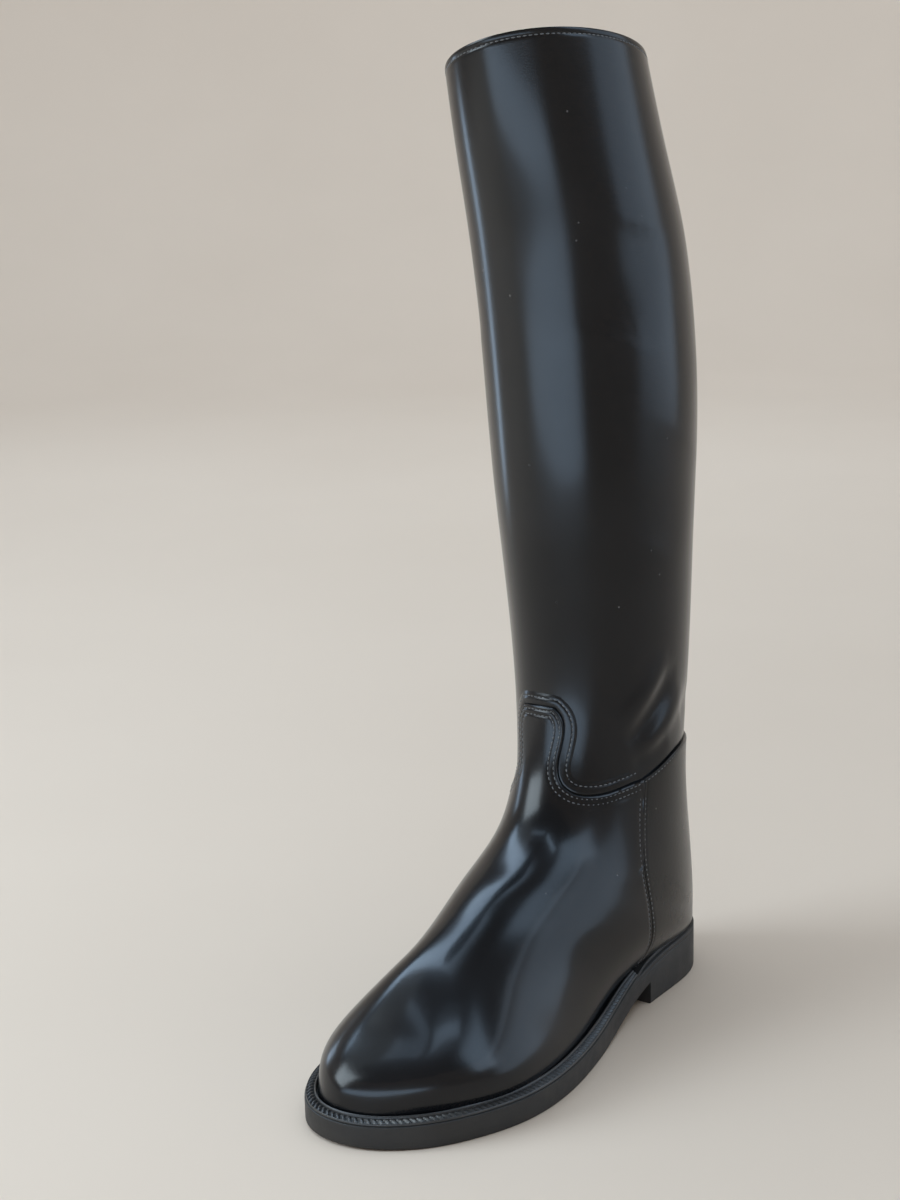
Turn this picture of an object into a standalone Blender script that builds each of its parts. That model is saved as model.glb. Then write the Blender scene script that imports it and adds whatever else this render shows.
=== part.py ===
"""Left riding boot: hollow leather upper, vamp and counter over it, rubber sole with a low heel.

The toe points to -Y, the wearer's outer side is +X and the sole stands on Z = 0.
All sizes are millimetres until the points of a mesh are written in metres.
s is the distance from the back of the heel towards the toe.
"""
import bmesh
import bpy
import numpy as np

MM = 0.001

# Main sizes
LENGTH = 285.0
SEAT_Z = 26.5
FORE_Z = 11.7
WAIST_THICK = 12.2
BREAST_S = 77.5
TOE_SPRING = 1.2
SPRING_FROM_S = 252.0
EDGE_ROUND = 0.8
WALL = 1.9
LAYER_GAP = 0.46
COUNTER_GAP = 0.68
LAYER_THICK = 1.1
SEAT_GAP = 0.35
SEAT_FALL_END_S = 163.0
SEAT_FALL_LENGTH = 126.0
ARCH_END_S = 158.0
RIM_HEEL = 0.8
RIM_FORE = 6.4
RIM_OUTER_S = (38.0, 118.0)
RIM_INNER_S = (90.0, 180.0)
WELT_END_S = 92.0
WELT_INNER_END_S = 146.0
WELT_OUTER = 0.9
WELT_LOW = 1.7
WELT_BEAD = 2.7
WELT_BEAD_FOOT = 1.5
WELT_BEAD_TOP = (1.0, 0.2)
WELT_CLEAR = 1.8
WELT_WAIST_CLEAR = 0.9
WELT_WAIST_S = (165.0, 105.0)
INSOLE_THICK = 3.0
INSOLE_CLEAR = 0.7
INSOLE_HEEL_CLEAR = 2.6
INSOLE_HEEL_S = (104.0, 17.5)
SEAM_SHARE_GAP = 0.012
TAB_SHIFT = 0.085
TAB_SHIFT_V = (0.613, 0.9)
COLLAR_MID_Z = 475.0
COLLAR_FRONT_RISE = 9.0
COLLAR_SIDE_RISE = 10.5
TOE_STATIONS = 3.4
TOE_SPREAD = 0.55
MID_X = 0.5
FAIR_SPREAD = 0.9
FAIR_SHARE = 0.35
FAIR_ABOVE = (7.2, 8.4)
FAIR_BELOW = (9.8, 11.0)
CUTTER_HALF = 90.0
CUTTER_DEPTH = 20.0
CUTTER_LEAD = 0.3
CUTTER_PAST_TOE = 1.15
SMOOTH_ANGLE = 0.6

# Mesh counts
SIDE_COLUMNS = 18
SHAFT_ROWS = 8
ANKLE_ROWS = 13
FOOT_ROWS = 18
SEAM_STEPS = 10
VAMP_FREE_ROWS = 8
VAMP_SHARED_ROW = 7
TAB_COLUMNS = 3
TAB_ROWS = 9
COUNTER_STEPS = 13
SOLE_STEPS = 44
WELT_STEPS = 52
INSOLE_STEPS = 30
ARCH_STEPS = 14
SPRING_STEPS = 6

# Outline of the sole seen from above
OUTLINE = (
    ("s", "outer", "inner"),
    (0.0, 0.0, 0.0),
    (3.0, 13.4, 13.4),
    (12.0, 25.4, 25.2),
    (30.0, 34.4, 34.0),
    (60.0, 36.9, 33.8),
    (95.0, 39.0, 31.0),
    (130.0, 45.6, 30.0),
    (165.0, 53.4, 36.0),
    (195.0, 56.6, 44.8),
    (220.0, 54.0, 49.0),
    (245.0, 44.5, 47.0),
    (263.0, 33.0, 40.0),
    (276.0, 19.0, 30.0),
    (282.5, 7.0, 20.0),
    (285.0, -7.0, 7.0),
)

# Sections of the leg from the collar down: closed loops between a back point and a front point
LEG = (
    ("back_y", "back_z", "front_y", "front_z", "swell_out", "swell_in", "mid_x", "power"),
    (-52.0, 510.0, -157.0, 510.0, 43.0, 43.0, -8.8, 1.0),
    (-29.6, 440.0, -143.2, 440.0, 46.6, 46.6, -7.3, 1.0),
    (-12.0, 390.0, -132.4, 390.0, 49.3, 49.3, -6.2, 1.0),
    (-3.6, 330.0, -124.8, 330.0, 49.8, 49.8, -4.8, 1.0),
    (-4.4, 268.0, -121.0, 272.0, 47.9, 47.9, -3.4, 1.0),
    (-7.5, 206.0, -116.0, 222.0, 44.4, 44.4, -2.0, 1.0),
    (-11.3, 150.0, -113.0, 182.0, 41.6, 41.6, -1.0, 1.0),
    (-12.2, 110.0, -115.6, 152.0, 39.4, 39.0, -0.5, 1.0),
    (-6.0, 68.0, -122.0, 124.6, 38.5, 37.2, 0.0, 0.95),
)

# Sections of the foot: arches that stand on the sole at base_s and fan out to the toe
FOOT = (
    ("base_s", "front_y", "front_z", "swell_out", "swell_in", "mid_x", "power"),
    (0.0, -133.4, 106.7, 41.1, 39.9, 0.0, 0.96),
    (6.5, -149.7, 94.9, 37.7, 36.5, 0.0, 0.90),
    (30.3, -169.5, 87.0, 28.5, 26.6, -0.7, 1.0),
    (67.0, -188.8, 78.4, 24.9, 21.6, -1.5, 1.06),
    (109.0, -207.8, 71.4, 23.5, 16.5, -2.5, 1.07),
    (151.0, -224.8, 64.2, 15.7, 15.8, -4.0, 1.02),
    (182.5, -240.2, 54.2, 12.6, 13.8, -5.5, 0.97),
    (210.0, -254.5, 42.3, 12.0, 11.0, -6.8, 0.92),
    (226.0, -266.6, 31.0, 13.4, 12.0, -7.6, 0.92),
    (234.0, -274.6, 20.5, 12.8, 12.6, -8.0, 0.95),
    (238.0, -277.0, 12.0, 12.4, 12.0, -8.2, 1.0),
)

# Edges of the layers on the upper: station u, and share v from the back line to the front line
SEAM_BACK = (
    ("u", "v"),
    (6.25, 0.0),
    (6.47, 0.2),
    (6.78, 0.42),
    (7.19, 0.547),
    (7.43, 0.613),
)
SEAM_SIDE = (
    ("u", "v"),
    (7.43, 0.613),
    (8.13, 0.617),
    (8.92, 0.599),
    (9.83, 0.508),
    (10.64, 0.384),
    (11.6, 0.209),
    (12.4, 0.02),
)
SEAM_FRONT = (
    ("u", "v"),
    (7.43, 0.613),
    (7.62, 0.68),
    (7.86, 0.76),
    (7.99, 0.83),
    (7.99, 0.875),
    (7.9, 0.91),
)
TAB_EDGE = (
    ("u", "v"),
    (7.9, 0.91),
    (7.75, 0.93),
    (7.55, 0.938),
    (7.3, 0.932),
    (7.1, 0.924),
    (6.9, 0.922),
    (6.72, 0.934),
    (6.58, 0.965),
)


def columns(table, *names):
    """Named columns of a table whose first row holds the names."""
    places = [table[0].index(name) for name in names]
    return np.array([[row[k] for k in places] for row in table[1:]], float)


def spline(knots, values):
    """Smooth curve through the rows of values, natural at both ends."""
    knots = np.asarray(knots, float)
    values = np.asarray(values, float)
    values = values.reshape(len(knots), -1)
    count = len(knots)
    step = np.diff(knots)
    slope = np.diff(values, axis=0) / step[:, None]
    matrix = np.eye(count)
    right = np.zeros_like(values)
    for i in range(1, count - 1):
        matrix[i, i - 1:i + 2] = (step[i - 1], 2.0 * (step[i - 1] + step[i]), step[i])
        right[i] = 6.0 * (slope[i] - slope[i - 1])
    bend = np.linalg.solve(matrix, right)

    def at(t):
        t = np.asarray(t, float)
        k = np.clip(np.searchsorted(knots, t) - 1, 0, count - 2)
        past = (t - knots[k])[..., None]
        left = (knots[k + 1] - t)[..., None]
        width = step[k][..., None]
        cubic = (bend[k] * left ** 3 + bend[k + 1] * past ** 3) / (6.0 * width)
        first = (values[k] / width - bend[k] * width / 6.0) * left
        second = (values[k + 1] / width - bend[k + 1] * width / 6.0) * past
        return cubic + first + second

    return at


def ease(t):
    t = np.clip(t, 0.0, 1.0)
    return t ** 3 * (10.0 - 15.0 * t + 6.0 * t * t)


def between(s, start, end):
    """Eased share of the way from start to end."""
    return ease((np.asarray(s, float) - start) / (end - start))


def turn(s):
    """Angle round the outline: 0 at the back of the heel, pi at the tip of the toe."""
    return np.arccos(np.clip(1.0 - 2.0 * np.asarray(s, float) / LENGTH, -1.0, 1.0))


def closed_outline():
    s, outer, inner = columns(OUTLINE, "s", "outer", "inner").T
    angle = turn(s)
    knots = np.concatenate([angle, 2.0 * np.pi - angle[-2:0:-1]])
    across = np.concatenate([outer, -inner[-2:0:-1]])
    lap = 2.0 * np.pi
    knots = np.concatenate([knots - lap, knots, knots + lap])
    return spline(knots, np.tile(across, 3))


outline_across = closed_outline()


def outline(angle, inset=0.0):
    """Point of the sole's outline from above, moved inwards by inset."""
    angle = np.asarray(angle, float)

    def point(a):
        across = outline_across(np.mod(a, 2.0 * np.pi))[..., 0]
        return np.stack([across, -LENGTH * (1.0 - np.cos(a)) / 2.0], -1)

    tangent = point(angle + 0.004) - point(angle - 0.004)
    tangent = tangent / np.linalg.norm(tangent, axis=-1, keepdims=True)
    outward = np.stack([-tangent[..., 1], tangent[..., 0]], -1)
    return point(angle) - outward * np.asarray(inset, float)[..., None]


def sole_top(s):
    """Height of the sole's upper edge: seat of the heel, slope of the arch, forefoot."""
    seat = ease((SEAT_FALL_END_S - np.asarray(s, float)) / SEAT_FALL_LENGTH)
    return FORE_Z * (1.0 - seat) + SEAT_Z * seat


def rim(angle):
    """Ledge of the sole outside the leather, narrow round the heel and along the inner waist."""
    s = LENGTH * (1.0 - np.cos(angle)) / 2.0
    share = np.where(np.asarray(angle) <= np.pi, between(s, *RIM_OUTER_S), between(s, *RIM_INNER_S))
    return RIM_HEEL + (RIM_FORE - RIM_HEEL) * share


def on_sole(angle, inset, lift):
    place = outline(angle, inset)
    height = sole_top(-place[..., 1]) + lift
    return np.concatenate([place, height[..., None]], -1)


def feather(angle):
    """Lower edge of the upper's outer face."""
    return on_sole(angle, rim(angle) + LAYER_GAP + LAYER_THICK, SEAT_GAP)


U_ANKLE = 5.0
U_HEEL = float(len(LEG) - 1)
U_END = U_HEEL + float(len(FOOT) - 2)


def section_curves():
    """Curves over the stations for the back point, the angle of the base and the front point."""
    shape = ("front_y", "front_z", "swell_out", "swell_in", "mid_x", "power")
    base = turn(columns(FOOT, "base_s"))
    back = np.vstack([columns(LEG, "back_y", "back_z"), feather(0.0)[1:]])
    front = np.vstack([columns(LEG, *shape), columns(FOOT, *shape)])
    toe_x, toe_y, toe_z = feather(np.pi)
    front[-1, shape.index("front_y")] = toe_y
    front[-1, shape.index("front_z")] = toe_z
    front[-1, shape.index("mid_x")] = toe_x
    back_curve = spline(np.arange(len(back)), back)
    base_curve = spline(np.arange(len(base)) + U_HEEL, base)
    front_curve = spline(np.arange(len(front)), front)
    return back_curve, base_curve, front_curve


back_curve, base_curve, front_curve = section_curves()


def section(u, v, side):
    """Sections of the leg and the foot. side is +1 on the outer half and -1 on the inner half."""
    u, v = np.broadcast_arrays(np.asarray(u, float), np.asarray(v, float))
    front_y, front_z, swell_out, swell_in, mid, power = np.moveaxis(front_curve(u), -1, 0)
    swell = swell_out if side > 0 else swell_in
    back = back_curve(np.minimum(u, U_HEEL))
    angle = np.where(u > U_HEEL, base_curve(np.maximum(u, U_HEEL))[..., 0], 0.0)
    base = feather(angle if side > 0 else 2.0 * np.pi - angle)
    closed = u <= U_HEEL
    base_y = np.where(closed, back[..., 0], base[..., 1])
    base_z = np.where(closed, back[..., 1], base[..., 2])
    reach = np.where(closed, 0.0, np.maximum((base[..., 0] - mid) * side, 0.0))
    wide = np.hypot(reach, swell)
    low = -np.arccos(np.clip(reach / wide, 0.0, 1.0) ** (1.0 / power))
    theta = low + v * (np.pi / 2.0 - low)
    along = (np.sin(theta) - np.sin(low)) / (1.0 - np.sin(low))
    x = mid + side * wide * np.clip(np.cos(theta), 0.0, 1.0) ** power
    y = base_y + along * (front_y - base_y)
    z = base_z + along * (front_z - base_z)
    # The last stations settle on the feather edge round the toe
    settle = ease((u - (U_END - TOE_STATIONS)) / TOE_STATIONS)[..., None]
    sweep = angle + along ** TOE_SPREAD * (np.pi - angle)
    tip = feather(sweep if side > 0 else 2.0 * np.pi - sweep)
    tip_z = tip[..., 2] + along * (front_z - tip[..., 2])
    tip = np.stack([tip[..., 0], tip[..., 1], tip_z], -1)
    return np.stack([x, y, z], -1) * (1.0 - settle) + tip * settle


def last(u, v, side):
    """Outer face of the upper: the sections, faired where the leg becomes the foot."""
    u, v = np.broadcast_arrays(np.asarray(u, float), np.asarray(v, float))
    near = between(u, *FAIR_ABOVE) * (1.0 - between(u, *FAIR_BELOW))
    spread = FAIR_SPREAD * near * ease(v / FAIR_SHARE)
    taps = np.linspace(-0.8, 0.8, 9)
    weights = (1.0 - taps ** 2) ** 2
    weights = weights / weights.sum()
    return sum(weight * section(u + tap * spread, v, side) for tap, weight in zip(taps, weights))


def skin(u, v, side, lift):
    """The upper's face moved outwards by lift, kept clear above the sole."""
    step = 0.002
    u, v = np.broadcast_arrays(np.asarray(u, float), np.asarray(v, float))
    along_u = last(np.minimum(u + step, U_END), v, side) - last(np.maximum(u - step, 0.0), v, side)
    along_v = last(u, np.minimum(v + step, 1.0), side) - last(u, np.maximum(v - step, 0.0), side)
    outward = np.cross(along_u, along_v) * -side
    outward = outward / np.linalg.norm(outward, axis=-1, keepdims=True)
    point = last(u, v, side) + lift * outward
    floor = sole_top(-point[..., 1]) + SEAT_GAP
    point[..., 2] = np.maximum(point[..., 2], floor)
    return point


def collar_u(v, side):
    """Station of the collar's edge: higher at the front and on the outer side."""
    height = COLLAR_MID_Z - COLLAR_FRONT_RISE * np.cos(np.pi * v)
    height = height + side * COLLAR_SIDE_RISE * np.sin(np.pi * v)
    tries = np.linspace(0.0, 2.0, 401)
    return float(np.interp(-height, -last(tries, np.full_like(tries, v), side)[:, 2], tries))


def edge_curve(table):
    """Curve through an edge table, over the share of its length with stations counted as a sixth."""
    rows = columns(table, "u", "v")
    steps = np.hypot(np.diff(rows[:, 0]) / 6.0, np.diff(rows[:, 1]))
    length = np.concatenate([[0.0], np.cumsum(steps)])
    return spline(length / length[-1], rows)


def tab_place(place, side):
    """Station and share of a front edge: on the inner half the tab reaches further round."""
    u, v = place
    shift = TAB_SHIFT * float(between(v, *TAB_SHIFT_V)) if side < 0 else 0.0
    return float(u), float(v) - shift


class Sheet:
    """Faces over station, share and side, turned into a closed wall between two lifts."""

    def __init__(self):
        self.keys = {}
        self.places = []
        self.faces = []

    def vertex(self, u, v, side):
        shared = v >= 1.0 - 1e-9 or (v <= 1e-9 and u <= U_HEEL + 1e-9)
        key = (round(u, 6), round(v, 6), 1 if shared else side)
        if key not in self.keys:
            self.keys[key] = len(self.places)
            self.places.append(key)
        return self.keys[key]

    def grid(self, rows, side):
        """rows is a list of equally long lists of (u, v)."""
        for upper, lower in zip(rows[:-1], rows[1:]):
            for a, b, c, d in zip(upper[:-1], upper[1:], lower[1:], lower[:-1]):
                ring = [self.vertex(*p, side) for p in (a, b, c, d)]
                ring = [p for i, p in enumerate(ring) if p != ring[i - 1]]
                if len(ring) > 2:
                    self.faces.append(ring if side > 0 else ring[::-1])

    def points(self, lift):
        rows = np.array(self.places)
        out = np.zeros((len(rows), 3))
        for side in (1, -1):
            pick = rows[:, 2] == side
            out[pick] = skin(rows[pick, 0], rows[pick, 1], side, lift)
        return out

    def wall(self, low, high):
        count = len(self.places)
        points = np.vstack([self.points(high), self.points(low)])
        faces = [list(face) for face in self.faces]
        faces += [[p + count for p in reversed(face)] for face in self.faces]
        used = {}
        for face in self.faces:
            for a, b in zip(face, face[1:] + face[:1]):
                used[(a, b)] = True
        for a, b in used:
            if (b, a) not in used:
                faces.append([b, a, a + count, b + count])
        return points, faces


def upper_sheet():
    sheet = Sheet()
    shares = np.linspace(0.0, 1.0, SIDE_COLUMNS + 1)
    ankle_rows = list(np.linspace(U_ANKLE, U_HEEL, ANKLE_ROWS + 1)[1:])
    foot_rows = list(np.linspace(U_HEEL, U_END, FOOT_ROWS + 1)[1:])
    for side in (1, -1):
        start = [collar_u(v, side) for v in shares]
        rows = []
        for t in np.linspace(0.0, 1.0, SHAFT_ROWS + 1):
            rows.append([(u + t * (U_ANKLE - u), v) for u, v in zip(start, shares)])
        for u in ankle_rows + foot_rows:
            rows.append([(u, v) for v in shares])
        sheet.grid(rows, side)
    return sheet


def vamp_sheet():
    """From the side seams and the scalloped tab forwards to the toe."""
    sheet = Sheet()
    side_seam = edge_curve(SEAM_SIDE)
    front_seam = edge_curve(SEAM_FRONT)
    tab = edge_curve(TAB_EDGE)
    shares = np.linspace(0.0, 1.0, SIDE_COLUMNS + 1)
    front_count = SIDE_COLUMNS - SEAM_STEPS - TAB_COLUMNS
    tab_shares = np.linspace(0.0, 1.0, TAB_COLUMNS + 1)
    foot_rows = np.linspace(U_HEEL, U_END, FOOT_ROWS + 1)[VAMP_SHARED_ROW:]
    for side in (1, -1):
        front = [tab_place(front_seam(t), side) for t in np.linspace(0.0, 1.0, front_count + 1)[1:]]
        notch_u, notch_v = front[-1]
        start = [tuple(side_seam(t)) for t in np.linspace(1.0, 0.0, SEAM_STEPS + 1)] + front
        start += [(notch_u, notch_v + (1.0 - notch_v) * t) for t in tab_shares[1:]]
        rows = []
        for t in np.linspace(0.0, 1.0, VAMP_FREE_ROWS + 1):
            ends = zip(start, shares)
            rows.append([(u + t * (foot_rows[0] - u), v + t * (share - v)) for (u, v), share in ends])
        for u in foot_rows[1:]:
            rows.append([(u, v) for v in shares])
        sheet.grid(rows, side)
        tab_rows = []
        for t in np.linspace(1.0, 0.0, TAB_ROWS + 1):
            u, v = tab_place(tab(t), side)
            tab_rows.append([(u, v + (1.0 - v) * k) for k in tab_shares])
        tab_rows[-1] = start[-len(tab_shares):]
        sheet.grid(tab_rows, side)
    return sheet


def counter_sheet():
    """Round the heel, between the back seam, the side seams and the sole."""
    sheet = Sheet()
    top = edge_curve(SEAM_BACK)
    front = edge_curve(SEAM_SIDE)
    gap = np.array((0.0, SEAM_SHARE_GAP))
    across = np.linspace(0.0, 1.0, COUNTER_STEPS + 1)
    down = np.linspace(0.0, 1.0, SEAM_STEPS + 1)
    corner_back = np.array(SEAM_BACK[1])
    corner_front = np.array(SEAM_SIDE[1])
    corner_low = np.array(SEAM_SIDE[-1])
    corner_heel = np.array((U_HEEL - 0.03, 0.0))
    for side in (1, -1):
        rows = []
        for r in down:
            row = []
            for q in across:
                low = corner_heel + q * (corner_low - corner_heel)
                back = corner_back + r * (corner_heel - corner_back)
                edges = (1 - r) * top(q) + r * low + (1 - q) * back + q * front(r)
                corners = (1 - r) * ((1 - q) * corner_back + q * corner_front)
                corners = corners + r * ((1 - q) * corner_heel + q * corner_low)
                u, v = edges - corners - q * gap
                row.append((float(u), float(max(v, 0.0)) if q > 0 else 0.0))
            rows.append(row)
        sheet.grid(rows, -side)
    return sheet


def ladder(angles, levels):
    """Plate between matching points of both sides; levels are (inset, height function) from below."""
    points = []
    faces = []
    steps = len(angles)
    for inset, height in levels:
        for half in (angles, 2.0 * np.pi - angles):
            place = outline(half, np.full(steps, inset) if np.isscalar(inset) else inset)
            points.append(np.column_stack([place, height(-place[:, 1])]))

    def at(level, half, k):
        return (level * 2 + half) * steps + k

    top = len(levels) - 1
    for k in range(steps - 1):
        faces.append([at(0, 0, k), at(0, 0, k + 1), at(0, 1, k + 1), at(0, 1, k)])
        faces.append([at(top, 1, k), at(top, 1, k + 1), at(top, 0, k + 1), at(top, 0, k)])
        for level in range(top):
            for half, first, second in ((0, k + 1, k), (1, k, k + 1)):
                low = [at(level, half, first), at(level, half, second)]
                high = [at(level + 1, half, second), at(level + 1, half, first)]
                faces.append(low + high)
    return np.vstack(points), faces


def level(z):
    return lambda s: np.full_like(np.asarray(s, float), z)


def sole_block():
    angles = np.linspace(0.0, np.pi, SOLE_STEPS + 1)
    levels = (
        (EDGE_ROUND, level(0.0)),
        (0.0, level(EDGE_ROUND)),
        (0.0, lambda s: sole_top(s) - EDGE_ROUND * 0.6),
        (EDGE_ROUND * 0.6, sole_top),
    )
    return ladder(angles, levels)


def insole_plate():
    angles = np.linspace(0.0, np.pi, INSOLE_STEPS + 1)
    heel = between(LENGTH * (1.0 - np.cos(angles)) / 2.0, *INSOLE_HEEL_S)
    clear = INSOLE_CLEAR + (INSOLE_HEEL_CLEAR - INSOLE_CLEAR) * heel
    inset = rim(angles) + LAYER_GAP + LAYER_THICK + WALL + clear
    levels = (
        (inset, lambda s: sole_top(s) + SEAT_GAP),
        (inset, lambda s: sole_top(s) + SEAT_GAP + INSOLE_THICK),
    )
    return ladder(angles, levels)


def welt_strip():
    """Strip on the sole's ledge from one side seam round the toe to the other."""
    angles = np.linspace(turn(WELT_END_S), 2.0 * np.pi - turn(WELT_INNER_END_S), WELT_STEPS + 1)
    s = LENGTH * (1.0 - np.cos(angles)) / 2.0
    outer = np.full_like(angles, WELT_OUTER)
    inner = rim(angles) - WELT_CLEAR - WELT_WAIST_CLEAR * between(s, *WELT_WAIST_S)
    profile = (
        (outer, SEAT_GAP),
        (outer, WELT_LOW),
        (inner - WELT_BEAD_FOOT, WELT_LOW),
        (inner - WELT_BEAD_TOP[0], WELT_BEAD),
        (inner - WELT_BEAD_TOP[1], WELT_BEAD),
        (inner, SEAT_GAP),
    )
    points = np.stack([on_sole(angles, inset, lift) for inset, lift in profile], 1)
    count = len(profile)
    faces = []
    for k in range(len(angles) - 1):
        for j in range(count):
            n = (j + 1) % count
            faces.append([k * count + j, k * count + n, (k + 1) * count + n, (k + 1) * count + j])
    faces.append(list(range(count))[::-1])
    faces.append([(len(angles) - 1) * count + j for j in range(count)])
    return points.reshape(-1, 3), faces


def under_cutter(curve):
    """Prism across the sole whose upper side follows curve, a list of (s, z)."""
    points = []
    for x in (-CUTTER_HALF, CUTTER_HALF):
        points += [(x, -s, z) for s, z in curve]
        points += [(x, -s, -CUTTER_DEPTH) for s, z in reversed(curve)]
    count = len(curve) * 2
    faces = [list(range(count)), [count + i for i in range(count)][::-1]]
    for i in range(count):
        n = (i + 1) % count
        faces.append([n, i, count + i, count + n])
    return np.array(points), faces


def arch_curve():
    """Underside of the waist, from the heel's breast to where it meets the floor."""
    steps = np.linspace(BREAST_S, ARCH_END_S, ARCH_STEPS + 1)
    curve = [(float(s), float(sole_top(s)) - WAIST_THICK) for s in steps]
    return [(s, z) for s, z in curve if z > 0.0] + [(ARCH_END_S, -CUTTER_LEAD)]


def spring_curve():
    """Underside of the toe, lifted off the floor towards the tip."""
    steps = np.linspace(0.0, CUTTER_PAST_TOE, SPRING_STEPS + 1)
    lifted = [(SPRING_FROM_S + t * (LENGTH - SPRING_FROM_S), TOE_SPRING * t * t) for t in steps]
    return [(SPRING_FROM_S - CUTTER_LEAD * 10.0, -CUTTER_LEAD)] + lifted


def clear_scene():
    for item in list(bpy.data.objects):
        bpy.data.objects.remove(item, do_unlink=True)
    for group in list(bpy.data.collections):
        bpy.data.collections.remove(group)


def collection(name):
    group = bpy.data.collections.new(name)
    bpy.context.scene.collection.children.link(group)
    return group


def material(name, colour, roughness):
    mat = bpy.data.materials.new(name)
    mat.use_nodes = True
    shader = mat.node_tree.nodes["Principled BSDF"]
    shader.inputs["Base Color"].default_value = (*colour, 1.0)
    shader.inputs["Roughness"].default_value = roughness
    return mat


def add_object(name, shape, group, mat=None):
    points, faces = shape
    placed = (np.asarray(points, float) + (-MID_X, LENGTH / 2.0, 0.0)) * MM
    mesh = bpy.data.meshes.new(name)
    mesh.from_pydata(placed.tolist(), [], [list(map(int, face)) for face in faces])
    body = bmesh.new()
    body.from_mesh(mesh)
    bmesh.ops.remove_doubles(body, verts=body.verts, dist=0.00001)
    bmesh.ops.dissolve_degenerate(body, edges=body.edges, dist=0.00001)
    bmesh.ops.recalc_face_normals(body, faces=body.faces)
    body.to_mesh(mesh)
    body.free()
    mesh.shade_smooth()
    mesh.set_sharp_from_angle(angle=SMOOTH_ANGLE)
    item = bpy.data.objects.new(name, mesh)
    group.objects.link(item)
    if mat is not None:
        mesh.materials.append(mat)
    return item


def cut(target, tool):
    step = target.modifiers.new("cut " + tool.name, "BOOLEAN")
    step.operation = "DIFFERENCE"
    step.solver = "EXACT"
    step.object = tool
    graph = bpy.context.evaluated_depsgraph_get()
    done = bpy.data.meshes.new_from_object(target.evaluated_get(graph), depsgraph=graph)
    target.modifiers.clear()
    target.data = done


def build():
    clear_scene()
    parts = collection("riding boot")
    tools = collection("cutters")
    leather = material("black leather", (0.02, 0.02, 0.024), 0.25)
    vamp_leather = material("vamp leather", (0.024, 0.024, 0.028), 0.25)
    counter_leather = material("counter leather", (0.028, 0.028, 0.032), 0.25)
    rubber = material("sole rubber", (0.05, 0.05, 0.052), 0.6)
    welt_rubber = material("welt rubber", (0.07, 0.07, 0.074), 0.6)
    footbed = material("footbed leather", (0.45, 0.3, 0.16), 0.6)

    outsole = add_object("outsole", sole_block(), parts, rubber)
    for name, curve in (("arch cutter", arch_curve()), ("toe spring cutter", spring_curve())):
        tool = add_object(name, under_cutter(curve), tools)
        tool.hide_render = True
        tool.display_type = "WIRE"
        cut(outsole, tool)
    add_object("welt", welt_strip(), parts, welt_rubber)
    add_object("insole", insole_plate(), parts, footbed)
    add_object("upper", upper_sheet().wall(-WALL, 0.0), parts, leather)
    layer_top = LAYER_GAP + LAYER_THICK
    add_object("vamp", vamp_sheet().wall(LAYER_GAP, layer_top), parts, vamp_leather)
    add_object("counter", counter_sheet().wall(COUNTER_GAP, layer_top), parts, counter_leather)


build()
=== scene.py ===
"""Looks of the left riding boot: glossy black leather, tan lining and a black rubber sole.

The tables and shape functions are those of the part, so each piece lies where its solid lies.
Sizes are millimetres until a mesh is written in metres. s is the distance from the back of the heel.
"""

import math

import bmesh
import bpy
import numpy as np
from mathutils import Matrix, Quaternion, Vector
from mathutils.kdtree import KDTree


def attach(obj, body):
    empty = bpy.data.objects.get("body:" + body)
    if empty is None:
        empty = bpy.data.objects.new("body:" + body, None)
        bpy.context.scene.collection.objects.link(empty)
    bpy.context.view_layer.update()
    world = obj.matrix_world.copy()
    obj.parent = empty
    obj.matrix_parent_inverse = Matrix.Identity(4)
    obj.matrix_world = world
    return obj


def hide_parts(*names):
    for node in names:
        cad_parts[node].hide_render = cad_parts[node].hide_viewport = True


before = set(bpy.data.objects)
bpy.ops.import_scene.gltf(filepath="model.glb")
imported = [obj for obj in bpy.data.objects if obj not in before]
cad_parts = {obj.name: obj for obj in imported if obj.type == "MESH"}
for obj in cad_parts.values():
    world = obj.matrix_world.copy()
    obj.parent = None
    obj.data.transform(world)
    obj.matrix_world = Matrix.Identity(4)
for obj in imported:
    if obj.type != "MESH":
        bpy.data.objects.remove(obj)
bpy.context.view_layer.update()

MM = 0.001

# Main sizes, as in the part
LENGTH = 285.0
SEAT_Z = 26.5
FORE_Z = 11.7
WAIST_THICK = 12.2
BREAST_S = 77.5
TOE_SPRING = 1.2
SPRING_FROM_S = 252.0
WALL = 1.9
LAYER_GAP = 0.46
LAYER_THICK = 1.1
SEAT_GAP = 0.35
SEAT_FALL_END_S = 163.0
SEAT_FALL_LENGTH = 126.0
RIM_HEEL = 0.8
RIM_FORE = 6.4
RIM_OUTER_S = (38.0, 118.0)
RIM_INNER_S = (90.0, 180.0)
WELT_END_S = 92.0
WELT_INNER_END_S = 146.0
WELT_OUTER = 0.9
WELT_CLEAR = 1.8
WELT_WAIST_CLEAR = 0.9
WELT_WAIST_S = (165.0, 105.0)
INSOLE_THICK = 3.0
INSOLE_CLEAR = 0.7
INSOLE_HEEL_CLEAR = 2.6
INSOLE_HEEL_S = (104.0, 17.5)
SEAM_SHARE_GAP = 0.012
TAB_SHIFT = 0.085
TAB_SHIFT_V = (0.613, 0.9)
COLLAR_MID_Z = 475.0
COLLAR_FRONT_RISE = 9.0
COLLAR_SIDE_RISE = 10.5
COLLAR_STATION = 73.0
TOE_STATIONS = 3.4
TOE_SPREAD = 0.55
MID_X = 0.5
FAIR_SPREAD = 0.9
FAIR_SHARE = 0.35
FAIR_ABOVE = (7.2, 8.4)
FAIR_BELOW = (9.8, 11.0)
FOOT_JOIN_U = 12.889
SEAM_SHARE = 0.5556
NOTCH_SHARE = 0.8333

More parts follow.
